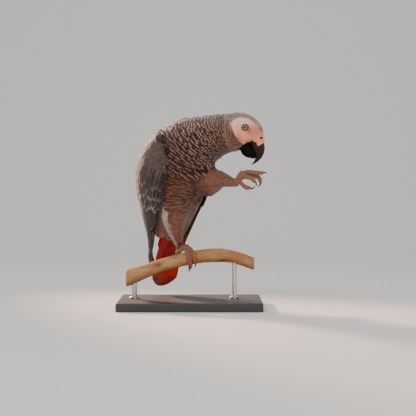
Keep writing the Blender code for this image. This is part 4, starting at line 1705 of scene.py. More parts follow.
def thinned(points: Array, gaps: Array) -> Array:
    """Keeps points, in order, that stand at least their gap from those kept before.

    Args:
        points: Array (n, 3).
        gaps: The least distance for each.

    Returns:
        The indices kept.
    """
    cell = float(gaps.max())
    grid: dict[tuple[int, ...], list[int]] = {}
    kept = []
    for i, point in enumerate(points):
        key = tuple(int(math.floor(c / cell)) for c in point)
        cells = (tuple(k + step for k, step in zip(key, steps)) for steps in product((-1, 0, 1), repeat=3))
        near = (j for place in cells for j in grid.get(place, ()))
        if all(np.sum((points[j] - point) ** 2) >= gaps[i] ** 2 for j in near):
            kept.append(i)
            grid.setdefault(key, []).append(i)
    return np.array(kept, int)


# ---------------------------------------------------------------- the coat of body feathers


@dataclass
class Roots:
    """Where feathers grow: points on the skin, their lies, and their places along a line."""

    points: Array
    lies: Array
    places: Array

    def kept(self, keep: Array) -> Roots:
        """Some of the roots."""
        return Roots(self.points[keep], self.lies[keep], self.places[keep])


@dataclass
class Coat:
    """The small feathers of the body, the head and the thighs, in staggered rows."""

    skin: Skin
    vanes: VaneTree
    marks: Markings
    ahead: float = 0.84
    wing_gap: float = 3.6 * MM
    body_reach: float = 4.0 * MM
    thigh_reach: float = 2.5 * MM
    fold: float = 14.0 * MM
    seat: float = 0.12 * MM
    bareness: float = 0.45
    above_wings: float = 9.4
    filler_throws: int = 26000
    # Place on the spine, then spacing, length, half width, tip height and gap across, in millimetres.
    sizes: tuple[tuple[float, ...], ...] = (
        (2.0, 4.0, 11.0, 4.8, 0.8, 6.0),
        (5.0, 4.2, 12.0, 5.6, 0.9, 7.0),
        (7.4, 4.8, 13.5, 6.6, 1.2, 8.4),
        (9.0, 5.2, 14.5, 7.4, 1.6, 9.2),
        (10.4, 4.5, 12.5, 6.3, 1.4, 7.8),
        (11.6, 3.0, 8.6, 3.8, 0.8, 4.4),
        (12.6, 2.2, 6.6, 2.2, 0.5, 2.7),
        (14.0, 1.8, 5.2, 1.5, 0.35, 1.9),
        (17.0, 1.35, 4.0, 1.1, 0.25, 1.4),
    )
    # The same for places on the thigh.
    thigh_sizes: tuple[tuple[float, ...], ...] = (
        (0.0, 3.8, 11.0, 4.4, 0.9, 5.4),
        (3.0, 3.0, 9.0, 3.0, 0.8, 3.8),
        (6.0, 2.2, 7.0, 1.7, 0.7, 2.4),
        (7.0, 2.0, 6.0, 1.4, 0.6, 2.0),
    )
    # How far rings on the neck slant forward below, by place on the spine, in places.
    slant: tuple[tuple[float, float], ...] = ((5.8, 0.0), (8.8, 0.75), (10.8, 0.75), (13.6, 0.0))

    def ring_roots(self, line: Line, sizes: Rows, start: float, end: float, towards: float) -> Roots:
        """Roots in staggered rings round a line, from one place on it to another.

        Args:
            line: The line inside the skin.
            sizes: The table of feather sizes.
            start: The first ring's place.
            end: The last ring's place.
            towards: Which way the feathers point along the line, 1 or -1.

        Returns:
            The roots.
        """
        rng = np.random.default_rng(int(start * 31 + 5))
        chart = tube_chart(line, self.skin.surface, start - 0.3, end + 0.3, int((end - start) * 9) + 6)
        turns = np.linspace(-math.pi, math.pi, 145)
        rings = []
        at = start
        while at <= end:
            spacing = float(table(sizes, at, 1)) * MM
            step = float(np.linalg.norm(line.read(at + 0.1)[:3] - line.read(at - 0.1)[:3])) / 0.2
            tilt = float(table(self.slant, at, 1)) if line is self.marks.line else 0.0
            ring = chart.at(at - tilt * np.sin(turns), turns)
            walked = np.concatenate([[0], np.cumsum(np.linalg.norm(np.diff(ring, axis=0), axis=1))])
            count = max(int(walked[-1] / (float(table(sizes, at, 5)) * MM)), 3)
            marks = (np.arange(count) + 0.5 * (len(rings) % 2)) / count * walked[-1]
            marks = marks + rng.normal(0, 0.09 * spacing, count)
            turn = np.interp(marks % walked[-1], walked, turns)
            place = at - tilt * np.sin(turn) + rng.normal(0, 0.09 * spacing, count) / step
            here = chart.at(place, turn)
            ahead = chart.at(place + towards * 0.25, turn)
            rings.append((here, unit(ahead - here) - np.array((0, 0, 0.75 * tilt)), place))
            at += spacing * self.ahead / step
        return Roots(*(np.concatenate(arrays) for arrays in zip(*rings)))

    def body(self) -> None:
        """Lays the feathers of the belly, breast, neck and head."""
        line = self.marks.line
        roots = self.ring_roots(line, self.sizes, 2.4, 16.9, -1.0)
        near, normals, gaps = self.skin.surface.nearest(roots.points)
        roots.points = near
        keep = (gaps < self.body_reach) & (self.marks.face(near) < self.bareness)
        keep &= ~self.skin.hidden(near, normals, self.fold)
        keep &= (self.skin.owner(near) == 0) & ~self.skin.under_wing(near)
        clear = self.skin.part(WING_NODES).gaps(near) > self.wing_gap
        roots = roots.kept(keep & (clear | (roots.places > self.above_wings)))
        spacing = table(self.sizes, roots.places, 1) * 0.72 * self.marks.fineness(roots.points)
        roots = roots.kept(thinned(roots.points, spacing * MM))
        soft = FeatherFinish("belly_feathers", 0.74, 0.94, 0.3, shaft=0.12, barbs=70.0).material()
        finish = FeatherFinish("neck_feathers", 0.83, 0.92, 0.3, shaft=0.15, barbs=70.0).material()
        fine = FeatherFinish("head_feathers", 0.4, 1.0, 0.3, barbs=20.0, shaft=0.2).material()
        bands = (
            ("coat_belly", 0.0, 7.2, Grade.BODY, soft),
            ("coat_breast", 7.2, 9.6, Grade.BODY, finish),
            ("coat_neck", 9.6, 12.6, Grade.BODY, finish),
            ("coat_head", 12.6, 18.0, Grade.SMALL, fine),
        )
        for name, low, high, grade, material in bands:
            band = roots.kept((roots.places >= low) & (roots.places < high))
            self.lay(name, band, self.sizes, grade, material, line)

    def lay(
        self,
        name: str,
        roots: Roots,
        sizes: Rows,
        grade: Grade,
        material: Material,
        line: Line,
        shades: Shades | None = None,
    ) -> Piece:
        """Grows one piece of the coat and registers it.

        Args:
            name: The piece's name.
            roots: Where the feathers grow.
            sizes: The table of feather sizes.
            grade: How finely the vanes are meshed.
            material: Their material.
            line: The line that the bake map unwraps the skin round.
            shades: Colours for middles and rims, or None for the body's own.

        Returns:
            The piece.
        """
        points = roots.points
        core, edge = shades or self.marks.plumage(points)
        rng = np.random.default_rng(len(points))
        core = core * rng.normal(1.0, 0.05, (len(points), 1))
        at, turn = line.unwrap(points)
        patch = np.stack([turn / (2 * math.pi) + 0.5, at / line.last], -1) * 0.98 + 0.01
        thick = (0.18 if grade is Grade.BODY else 0.11) * MM
        shoulder = 0.80 if grade is Grade.BODY else 0.68
        growth = Growth(self.skin.surface, grade, seed=len(name) * 7 + 1, shoulder=shoulder, thick=thick)
        size = self.marks.fineness(points) * MM
        lengths, halves, tips = (table(sizes, roots.places, column) for column in (2, 3, 4))
        feathers = growth.grow(
            points, roots.lies, lengths * size, halves * size, self.seat, tips * MM, (core, edge), patch
        )
        self.skin.rooted.append(feathers.centre[:, 0])
        piece = self.vanes.lay(name, feathers, grade, material, fray=0.06)
        return finish_piece(piece)

    def thighs(self) -> None:
        """Lays the fine feathers of both thighs."""
        finish = FeatherFinish("thigh_feathers", 0.6, 1.0, 0.2, barbs=14.0, shaft=0.15).material()
        for side, rows in THIGH_LINES.items():
            line = Line(rows)
            roots = self.ring_roots(line, self.thigh_sizes, 0.2, line.last - 0.15, 1.0)
            near, normals, gaps = self.skin.surface.nearest(roots.points)
            roots.points = near
            keep = (gaps < self.thigh_reach) & (self.skin.owner(near) == 1)
            keep &= self.skin.part((f"thigh_{side}",)).gaps(near) < 3.4 * MM
            keep &= ~self.skin.hidden(near, normals, self.fold)
            clear = (near[:, 2] > 0.168) | (near[:, 0] < 0.004)
            roots = roots.kept(keep & ((self.skin.part(BODY_NODES).gaps(near) > 3.0 * MM) | clear))
            spacing = table(self.thigh_sizes, roots.places, 1) * 0.6 * MM
            roots = roots.kept(thinned(roots.points, spacing))
            shades = self.thigh_shades(roots.points, roots.places)
            self.lay(f"coat_thigh_{side}", roots, self.thigh_sizes, Grade.SMALL, finish, line, shades)

    def thigh_shades(self, points: Array, places: Array | float) -> Shades:
        """Colours of thigh feathers: the belly's at their base, paler down the outer side."""
        tones = ((104, 66, 49), (134, 92, 72))
        shades = toned(self.marks.plumage(points), tones, smooth(places, 0.6, 3.4))
        return self.marks.pale_and_lit_strip(points, shades)

    def fill(self) -> None:
        """Puts short feathers wherever the rows left the skin bare."""
        skin = self.skin

        def feathered(points: Array) -> Array:
            return (self.marks.face(points) < 0.35) & (skin.foot_share(points) < 0.35)

        points, normals = skin.scatter(self.filler_throws, 71, feathered)
        order = np.concatenate([*skin.rooted, points])
        known = len(order) - len(points)
        owner = skin.owner(points)
        at = self.marks.line.near(points)
        head = (at > 12.4) & (owner == 0)
        own = table(self.sizes, at, 1) * 0.86 * self.marks.fineness(points)
        own = own * np.where(points[:, 2] < 0.118, 0.7, 1.0)
        spacing = np.select([owner == 2, owner == 1, owner == 3], [3.6, 2.6, 4.2], own) * MM
        gaps = np.concatenate([np.full(known, 1e-6), spacing])
        gaps[0] = spacing.max()
        kept = thinned(order, gaps)
        kept = kept[kept >= known] - known
        hidden = skin.hidden(points[kept], normals[kept], 7 * MM) | skin.under_wing(points[kept])
        kept = kept[~hidden]
        points, owner, at, spacing, head = (values[kept] for values in (points, owner, at, spacing, head))
        LOG.info("filler feathers: %d", len(points))
        ways = self.marks.line.centres(at - 0.2) - self.marks.line.centres(at + 0.2)
        for side, rows in THIGH_LINES.items():
            line = Line(rows)
            pick = (owner == 1) & (skin.part((f"thigh_{side}",)).gaps(points) < 4 * MM)
            near = line.near(points[pick])
            ways[pick] = line.centres(near + 0.2) - line.centres(near - 0.2)
        core, edge = self.marks.plumage(points)
        legs = self.thigh_shades(points, 2.4)
        grey = (owner == 2) & ((points[:, 2] > 0.178) | (points[:, 0] < -0.025) | (points[:, 1] > 0.045))
        flat = ((linear(80, 64, 57), linear(104, 87, 80)), (linear(150, 16, 8), linear(160, 26, 14)))
        for which, shade in enumerate((core, edge)):
            shade[owner == 1] = legs[which][owner == 1]
            shade[grey] = flat[0][which]
            shade[owner == 3] = flat[1][which]
        finish = FeatherFinish("filler_feathers", 0.6, 1.0, 0.3, shaft=0.1, barbs=16.0).material()
        lots = (("coat_fill_head", head, Grade.SPECK), ("coat_fill_body", ~head, Grade.SMALL))
        for name, pick, grade in lots:
            chosen = np.flatnonzero(pick)
            number = np.arange(len(chosen), dtype=float)
            lengths = spacing[chosen] / MM * 2.3 / self.marks.fineness(points[chosen])
            sizes = np.stack([number, 0.0 * number, lengths, lengths * 0.36, 0.09 * lengths], -1)
            roots = Roots(points[chosen], ways[chosen], number)
            self.lay(name, roots, sizes, grade, finish, self.marks.line, (core[chosen], edge[chosen]))


# ---------------------------------------------------------------- the wings


@dataclass(frozen=True)
class Tract:
    """One row of long wing feathers, from the front edge of the wing to its rear.

    Places and shares across the wing are given for the first feather and the last.
    """

    name: str
    count: int
    root_place: tuple[float, float]
    tip_place: tuple[float, ...]
    root_share: tuple[float, float]
    tip_share: tuple[float, float]
    half: tuple[float, float]
    lift: tuple[float, float]
    tilt: float
    grade: Grade
    tones: tuple[tuple[float, float, float], tuple[float, float, float]]


@dataclass
class Wing:
    """A folded wing: flight feathers, three rows of coverts and small coverts on its bend."""

    side: str
    nodes: dict
    line: Line
    vanes: VaneTree
    close_up: float = 8.0 * MM
    # Place on the spine, then the turns of the front and rear edges in degrees.
    edges: tuple[tuple[float, float, float], ...] = (
        (0.06, 62, 83),
        (0.30, 32, 85),
        (0.80, 4, 86),
        (1.50, -14, 86),
        (2.30, -22, 86),
        (3.20, -28, 85),
        (4.20, -34, 83),
        (5.20, -41, 80),
        (6.20, -45, 76),
        (7.20, -44, 68),
        (8.10, -36, 54),
        (8.50, -22, 40),
        (8.70, -6, 24),
    )
    tracts: tuple[Tract, ...] = (
        Tract(
            "primaries", 10, (6.0, 6.4), (0.75, 0.22, 0.10, 0.28, 0.62, 1.0, 1.4, 1.8, 2.2, 2.6),
            (0.05, 0.42), (0.10, 0.55), (6.6, 8.4), (-1.6, -0.2), 5.0, Grade.FLIGHT,
            ((46, 35, 30), (92, 74, 64)),
        ),
        Tract(
            "secondaries", 11, (6.4, 7.0), (2.2, 3.0), (0.42, 0.93),
            (0.46, 0.97), (7.6, 8.6), (-1.4, 0.1), 6.0, Grade.FLIGHT, ((66, 53, 47), (112, 95, 87)),
        ),
        Tract(
            "greater_coverts", 20, (6.3, 6.9), (4.3, 4.7), (0.03, 0.96),
            (0.03, 0.97), (4.2, 5.2), (-1.4, 0.2), 7.0, Grade.COVERT, ((48, 37, 33), (160, 139, 131)),
        ),
        Tract(
            "median_coverts", 22, (6.9, 7.3), (5.2, 5.45), (0.02, 0.96),
            (0.02, 0.97), (3.7, 4.4), (-1.4, 0.3), 7.0, Grade.COVERT, ((54, 42, 37), (154, 134, 126)),
        ),
        Tract(
            "lesser_coverts", 24, (7.4, 7.7), (6.0, 6.2), (0.02, 0.97),
            (0.02, 0.97), (3.2, 3.9), (-1.2, 0.3), 7.0, Grade.COVERT, ((62, 49, 44), (124, 106, 99)),
        ),
    )
    sunlit: tuple[tuple[float, float, float], ...] = ((104, 60, 40), (176, 96, 60))
    # Place on the spine, then spacing, length, half width and tip height of small coverts.
    small_sizes: tuple[tuple[float, ...], ...] = (
        (0.0, 3.6, 12.0, 4.0, 0.45),
        (6.8, 3.6, 12.0, 4.0, 0.45),
        (8.7, 2.8, 9.0, 3.0, 0.35),
    )

    def chart(self) -> Chart:
        """The outer side of the folded wing, by place on the spine and share across the wing."""
        names = [f"wing_{part}_{self.side}" for part in ("coverts", "flight")]
        surface = surface_of(names, self.nodes)
        first = np.linspace(0.1, 8.66, 70)
        second = np.linspace(0.0, 1.0, 25)
        grid = np.empty((len(first), len(second), 3))
        for i, at in enumerate(first):
            centre, _, left, above = self.line.frame(at)
            front, rear = (float(table(self.edges, at, column)) for column in (1, 2))
            for j, share in enumerate(second):
                turn = math.radians(front + (rear - front) * (0.015 + 0.97 * share))
                if self.side == "right":
                    turn = math.pi - turn
                way = left * math.cos(turn) + above * math.sin(turn)
                hit = surface.cast(centre + way * 0.12, -way, 0.12)
                grid[i, j] = surface.tree.find_nearest(centre + way * 0.06)[0] if hit is None else hit
        for _ in range(6):
            soft = grid.copy()
            soft[1:-1] = (grid[:-2] + 2 * grid[1:-1] + grid[2:]) / 4
            soft[:, 1:-1] = (soft[:, :-2] + 2 * soft[:, 1:-1] + soft[:, 2:]) / 4
            grid = soft
        self.outer = Chart(first, second, grid)
        return self.outer

    def outward(self, place: Array, share: Array) -> tuple[Array, Array]:
        """The wing's outward normals, and the directions towards its front edge."""
        chart = self.outer
        low = chart.at(place, np.clip(share - 0.06, 0, 1))
        high = chart.at(place, np.clip(share + 0.06, 0, 1))
        down = chart.at(place - 0.3, share) - chart.at(place + 0.3, share)
        front = unit(low - high)
        normal = unit(np.cross(front, down))
        at = np.clip(place, 0, self.line.last)
        centres = self.line.centres(at.ravel()).reshape(*place.shape, 3)
        flip = np.sign(((chart.at(place, share) - centres) * normal).sum(-1, keepdims=True))
        return normal * flip, front

    def paths(self, tract: Tract, seed: int) -> Feathers:
        """The paths of a tract's feathers over the wing's outer side."""
        rng = np.random.default_rng(seed)
        share = np.linspace(0, 1, tract.count)
        rows, _ = tract.grade.value
        t = row_steps(rows)

        def spread(ends: Sequence[float]) -> Array:
            return np.interp(share, np.linspace(0, 1, len(ends)), ends)[:, None]

        covert = tract.grade is Grade.COVERT
        root_place = spread(tract.root_place) + rng.normal(0, 0.05, (tract.count, 1))
        tip_place = spread(tract.tip_place) + rng.normal(0, 0.16 if covert else 0.03, (tract.count, 1))
        place = root_place + (tip_place - root_place) * t[None]
        across = spread(tract.root_share) + (spread(tract.tip_share) - spread(tract.root_share)) * t[None]
        across = across + rng.normal(0, 0.010 if covert else 0.004, (tract.count, 1))
        inner = tract.name == "primaries"
        if self.side == "left" and inner:
            across = across + 0.16 * (1 - across)
        centre = self.outer.at(place, across)
        normal, front = self.outward(place, across)
        if self.side == "right" and inner:
            shift = self.close_up * (1 - share)[:, None] * smooth(t, 0.4, 0.85)[None]
            centre = centre + front * shift[..., None]
        lift = (tract.lift[0] + (tract.lift[1] - tract.lift[0]) * t[None] ** 0.8) * MM
        centre = centre + normal * lift[..., None]
        ahead = unit(np.gradient(centre, axis=1))
        side = unit(front - ahead * (front * ahead).sum(-1, keepdims=True))
        lean = np.radians(tract.tilt + rng.normal(0, 1.6 if covert else 0.8, (tract.count, 1, 1)))
        tilted = side * np.cos(lean) + normal * np.sin(lean)
        up = unit(normal * np.cos(lean) - side * np.sin(lean))
        shape = outline(t, 0.8, 0.5, 3.0) if tract.grade is Grade.FLIGHT else outline(t, 0.66, 0.5)
        half = spread(tract.half) * MM * shape[None]
        half = half * rng.uniform(0.85, 1.15 if covert else 1.0, (tract.count, 1))
        return Feathers(
            centre,
            tilted,
            up,
            half,
            np.zeros((tract.count, 3)),
            np.zeros((tract.count, 3)),
            patch_row(tract.count),
            rng.normal(1.0, 0.13 if covert else 0.05, tract.count).clip(0.72, 1.3),
            thick=0.00020,
            cup=0.10,
        )

    def build(self, skin: Skin, coat: Coat) -> None:
        """Lays the whole wing."""
        flight = FeatherFinish("flight_feathers", 0.93, 1.0, 0.5, 0.30, 90.0, 0.9, 0.62).material()
        cover = FeatherFinish("wing_coverts", 0.78, 1.0, 0.6, streak=0.55, barbs=40.0, shaft=0.5).material()
        small = FeatherFinish("wing_small_coverts", 0.55, 1.0, 0.25, barbs=18.0, shaft=0.15).material()
        for number, tract in enumerate(self.tracts):
            feathers = self.paths(tract, 11 + number)
            tones = tract.tones
            if self.side == "left" and tract.name == "primaries":
                tones = self.sunlit
            rim = np.linspace(0, 1, tract.count)
            # Painted shadow: on the right wing the front-most feathers of each row are darkened.
            front_shadow = 0.42 + 0.58 * smooth(rim, 0.0, 0.10) if self.side == "right" else np.ones(tract.count)
            for shade, tone in zip((feathers.core, feathers.edge), tones):
                shade[:] = np.array(linear(*tone)) * front_shadow[:, None]
            material = flight if tract.grade is Grade.FLIGHT else cover
            name = f"{tract.name}_{self.side}"
            patch = (0.8 / tract.count, 0.95)
            piece = self.vanes.lay(name, feathers, tract.grade, material, 0.02, patch)
            replaced = (f"wing_flight_{self.side}",) if tract.name == "primaries" else ()
            finish_piece(piece, replaced)
        self.small_coverts(skin, coat, small)

    def small_coverts(self, skin: Skin, coat: Coat, material: Material) -> None:
        """Covers the bend of the wing and its rims with small coverts in rows."""
        rng = np.random.default_rng(41)
        rows = []
        place = 6.85
        while place < 8.66:
            row = self.outer.at(np.full(60, place), np.linspace(0, 1, 60))
            width = np.linalg.norm(np.diff(row, axis=0), axis=1).sum()
            count = max(int(width / (3.3 * MM)), 3)
            share = (np.arange(count) + 0.25 + 0.5 * (len(rows) % 2)) / count + rng.normal(0, 0.006, count)
            at = place + rng.normal(0, 0.02, count)
            lie = self.outer.at(at - 0.3, share) - self.outer.at(at + 0.05, share)
            rows.append((self.outer.at(at, share), lie))
            place += 0.125
        roots, lies = (np.concatenate(arrays) for arrays in zip(*rows))
        near, normals, gaps = skin.surface.nearest(roots)
        keep = (gaps < 2.4 * MM) & ~skin.hidden(near, normals, 12 * MM)
        near, lies = near[keep], lies[keep]
        node = f"wing_coverts_{self.side}"

        def on_wing(points: Array) -> Array:
            close = np.zeros(len(points))
            index = np.flatnonzero(in_boxes(points, (node,), MM))
            close[index] = skin.part((node,)).gaps(points[index]) < 2.6 * MM
            return close

        extra, normals = skin.scatter(3500, 43, on_wing)
        to_outer = Surface(*chart_mesh(self.outer)).gaps(extra)
        rims = (to_outer > 3.6 * MM) | (self.line.near(extra) > 6.9)
        extra, normals = extra[rims], normals[rims]
        seen = ~skin.hidden(extra, normals, 17 * MM)
        extra, normals = extra[seen], normals[seen]
        at = self.line.near(extra)
        step = self.line.centres(at - 0.2) - self.line.centres(at + 0.2)
        every = np.concatenate([near, extra])
        ways = np.concatenate([lies, step])
        kept = thinned(every, np.concatenate([np.full(len(near), 2.1), np.full(len(extra), 3.2)]) * MM)
        roots, lies = every[kept], ways[kept]
        at = self.line.near(roots)
        x, y, z = roots.T / MM
        cloud = 1.0 + 0.16 * ripple(x * 0.32, z * 0.14, 4.0) + 0.08 * ripple(x * 1.1, z * 0.5, 8.0)
        shades = tuple(np.array(linear(*tone)) * cloud[:, None] for tone in ((76, 60, 54), (96, 79, 72)))
        warm = 0.8 * smooth(-z, -172.0, -160.0) * (self.side == "left")
        shades = toned(shades, ((92, 60, 45), (122, 86, 68)), warm)
        # A pale patch on the wing's bend: pale feathers with a painted highlight.
        pale = np.exp(-((np.hypot((x + 46.0) * 0.75, z - 237.0) / 4.2) ** 4)) * (y < 45)
        shades = toned(shades, ((178, 150, 140), (206, 178, 168)), 0.9 * pale)
        # Painted shade: a near-black hollow between the wing's bend and the breast.
        hollow_shade = np.exp(-((np.hypot(x + 39.5, (z - 236.0) * 0.8) / 3.0) ** 4)) * (y < 45)
        shades = toned(shades, ((20, 13, 11), (26, 18, 15)), hollow_shade)
        name = f"small_coverts_{self.side}"
        roots = Roots(roots, lies, at)
        coat.lay(name, roots, self.small_sizes, Grade.SMALL, material, self.line, shades)


# ---------------------------------------------------------------- the tail


@dataclass
class Tail:
    """Twelve tail feathers, the central pair on top, with coverts over and under their roots."""

    vanes: VaneTree
    count: int = 12
    half: float = 7.6 * MM
    arch: float = 4.0 * MM
    rounding: float = 0.13
    widths: Rows = ((0.0, 15.5), (0.25, 20.0), (0.5, 22.0), (0.75, 22.5), (1.0, 22.5))
    dark: Colour = field(default_factory=lambda: linear(104, 9, 6))
    red: Colour = field(default_factory=lambda: linear(196, 14, 6))
    upper_tones: tuple[Colour | None, Colour] = (None, (186, 22, 11))
    under_tones: tuple[Colour, Colour] = ((184, 13, 6), (178, 20, 11))

    def frame(self) -> tuple[Vector, Vector, Vector]:
        """The tail's direction, its left side and its back."""
        along = (TAIL_TIP - TAIL_ROOT).normalized()
        yaw = math.radians(TAIL_YAW)
        left = Vector((math.sin(yaw), math.cos(yaw), 0))
        left = (left - along * left.dot(along)).normalized()
        back = along.cross(left)
        belly = Vector((left.y, -left.x, 0))
        return along, left, back if back.dot(belly) < 0 else -back

    def fan(
        self,
        spots: Sequence[float],
        start: float,
        end: float,
        rounding: float,
        lift: float,
        slope: float,
        half: float,
        grade: Grade,
    ) -> Feathers:
        """Feathers side by side over the tail.

        Args:
            spots: Each one's share across the tail, from -1 to 1.
            start: Where along the tail they start.
            end: Where along the tail the middle ones end.
            rounding: How much sooner the outer ones end.
            lift: The height of the middle ones behind the tail's middle.
            slope: How much lower the outer ones lie.
            half: Their half width.
            grade: How finely they are meshed.

        Returns:
            The feathers.
        """
        along, left, back = (np.array(v) for v in self.frame())
        rows, _ = grade.value
        t = row_steps(rows)
        length = (TAIL_TIP - TAIL_ROOT).length
        spots = np.array(spots)
        count = len(spots)
        ends = (end - rounding * spots * spots)[:, None]
        place = start + (ends - start) * t[None]
        width = table(self.widths, place, 1) * MM
        offset = spots[:, None] * np.maximum(width - half * 0.86, 0.001)
        bend = -self.arch * (offset / (22 * MM)) ** 2
        rise = (lift - slope * np.abs(spots))[:, None] + bend
        centre = np.array(TAIL_ROOT) + along * (length * place)[..., None]
        centre = centre + left * offset[..., None] + back * rise[..., None]
        ahead = unit(np.gradient(centre, axis=1))
        roll = np.radians(-9.0 * np.sign(spots) - 8.0 * spots)[:, None, None]
        side = left * np.cos(roll) + back * np.sin(roll)
        side = unit(side - ahead * (side * ahead).sum(-1, keepdims=True))
        up = np.cross(side, ahead)
        up = up * np.sign((up * back).sum(-1, keepdims=True))
        shape = outline(t, 0.82, 0.45, 3.4)
        rng = np.random.default_rng(count)
        return Feathers(
            centre,
            side,
            up,
            half * shape[None] * np.ones((count, 1)),
            np.tile(self.red, (count, 1)),
            np.tile(self.dark, (count, 1)),
            patch_row(count),
            rng.normal(1.0, 0.05, count).clip(0.88, 1.12),
            thick=0.00028,
            cup=0.06,
        )

    def build(self) -> None:
        """Lays the tail feathers and the coverts round their roots."""
        red = FeatherFinish("tail_feathers", 0.86, 1.0, 0.2, 0.0, 70.0, 0.7, 0.6).material()
        spots = [(k + 0.5) / (self.count / 2) * 0.98 for k in range(-self.count // 2, self.count // 2)]
        feathers = self.fan(spots, 0.02, 1.0, self.rounding, 1.0 * MM, 2.4 * MM, self.half, Grade.FLIGHT)
        piece = self.vanes.lay("tail_feathers", feathers, Grade.FLIGHT, red, 0.03, (0.8 / self.count, 0.95))
        finish_piece(piece, ("tail",))
        cover = FeatherFinish("tail_coverts", 0.7, 1.0, 0.2, barbs=30.0, shaft=0.15).material()
        lot = self.upper_coverts()
        self.cover("upper_tail_coverts", lot, self.upper_tones, 0.05, cover)
        lot = self.under_coverts()
        self.cover("undertail_coverts", lot, self.under_tones, 0.02, cover)

    def upper_coverts(self) -> Feathers:
        """Two rows of coverts over the tail's roots."""
        rows = []
        for row, (start, end) in enumerate(((0.0, 0.42), (-0.12, 0.30))):
            spots = [-0.85 + 1.7 * (k + 0.5 * (row % 2)) / 7 for k in range(7)]
            rows.append(self.fan(spots, start, end, 0.06, (2.6 + row) * MM, 0.0, 6 * MM, Grade.COVERT))
        return Feathers.joined(rows)

    def under_coverts(self) -> Feathers:
        """Eight rows of coverts under the tail, from the vent down."""
        rows = []
        for row in range(8):
            start = -0.22 + 0.062 * row
            count = 7 + row % 2
            spots = [-0.86 + 1.72 * k / (count - 1) for k in range(count)]
            lift = -(7.6 - 0.62 * row) * MM
            rows.append(self.fan(spots, start, start + 0.36, 0.05, lift, 0.0, 6.4 * MM, Grade.COVERT))
        return Feathers.joined(rows)

    def cover(
        self, name: str, lot: Feathers, tones: Sequence[Colour | None], wide: float, material: Material
    ) -> None:
        """Dresses and lays one piece of coverts.

        Args:
            name: The piece's name.
            lot: The coverts.
            tones: Eye colours of middles and rims, or None for the tail's own.
            wide: The width of each one's place on the bake map.
            material: Their material.
        """
        lot.patch = patch_row(len(lot.tint))
        for shade, tone in zip((lot.core, lot.edge), tones):
            if tone:
                shade[:] = linear(*tone)
        piece = self.vanes.lay(name, lot, Grade.COVERT, material, 0.08, (wide, 0.95))
        finish_piece(piece)


# ---------------------------------------------------------------- the head's hard parts


@dataclass
class Eye:
    """An eyeball with a bulging cornea, and the wrinkled lids round it."""

    side: str
    centre: Vector
    axis: Vector
    radius: float = 5.2 * MM
    bulge: float = 0.35 * MM
    opening: float = 3.2 * MM
    rim: float = 4.5 * MM

    def turned(
        self, name: str, rings: Sequence[Sequence[tuple[float, float]]], looped: bool = False
    ) -> Piece:
        """A closed shape of rings round the eye's axis.

        Args:
            name: The object's name.
            rings: For each ring, its points' radius and reach along the axis, the same number in each.
            looped: Whether the last ring joins the first.

        Returns:
            The object.
        """
        across = self.axis.cross(UP).normalized()
        over = across.cross(self.axis)
        rows = []
        for ring in rings:
            turns = [2 * math.pi * k / len(ring) for k in range(len(ring))]
            ways = [across * math.cos(turn) + over * math.sin(turn) for turn in turns]
            points = [self.centre + self.axis * reach + way * out for way, (out, reach) in zip(ways, ring)]
            rows.append(points)
        return lofted(name, rows, looped)

    def polar(self, piece: Piece) -> tuple[Array, Array]:
        """How far a piece's points lie along the eye's axis and out from it, in millimetres."""
        offset = (vertex_arrays(piece.data)[0] - np.array(self.centre)) / MM
        reach = offset @ np.array(self.axis)
        return reach, np.linalg.norm(offset - reach[:, None] * np.array(self.axis), axis=1)

    def ball(self) -> None:
        """Makes the eyeball."""
        rings = []
        for i in range(40):
            theta = math.radians(0.8 + (178.4 * (i / 39) ** 1.5))
            radius = self.radius * math.sin(theta)
            swell = self.bulge * max(0.0, 1 - (radius / (3.5 * MM)) ** 2) ** 1.5 if theta < 1.2 else 0.0
            rings.append([(radius, self.radius * math.cos(theta) + swell)] * 64)
        piece = self.turned(f"eyeball_{self.side}", rings)
        reach, radius = self.polar(piece)
        set_attribute(piece.data, "ring", "FLOAT", np.where(reach > 0, radius, 9.0))
        finish_piece(piece, (f"eye_{self.side}",), EyeFinish().material())

    def lids(self, material: Material) -> None:
        """Makes the lids: a puckered ring that hugs the ball."""
        rings = []
        seat = math.sqrt(self.radius**2 - self.opening**2)
        count = 120
        for i in range(14):
            turn = 2 * math.pi * i / 14
            ring = []
            for k in range(count):
                angle = 2 * math.pi * k / count
                square = 1 + 0.035 * math.cos(4 * angle)
                pucker = 1 + 0.05 * math.sin(angle * 30) + 0.04 * math.sin(angle * 47 + 1)
                middle = 0.5 * (self.opening + self.rim) * square
                wide = 0.5 * (self.rim - self.opening) * 1.04
                tall = 0.48 * MM * pucker
                ring.append((middle - wide * math.cos(turn), seat - 0.15 * MM + tall * math.sin(turn)))
            rings.append(ring)
        piece = self.turned(f"eyelids_{self.side}", rings, looped=True)
        _, radius = self.polar(piece)
        set_attribute(piece.data, "foot", "FLOAT", np.full(len(radius), 0.35))
        tone = mix(linear(96, 62, 38), linear(140, 98, 72), smooth(radius, 3.9, 4.6))
        set_attribute(piece.data, "core", "FLOAT_COLOR", tone)
        finish_piece(piece, (), material)


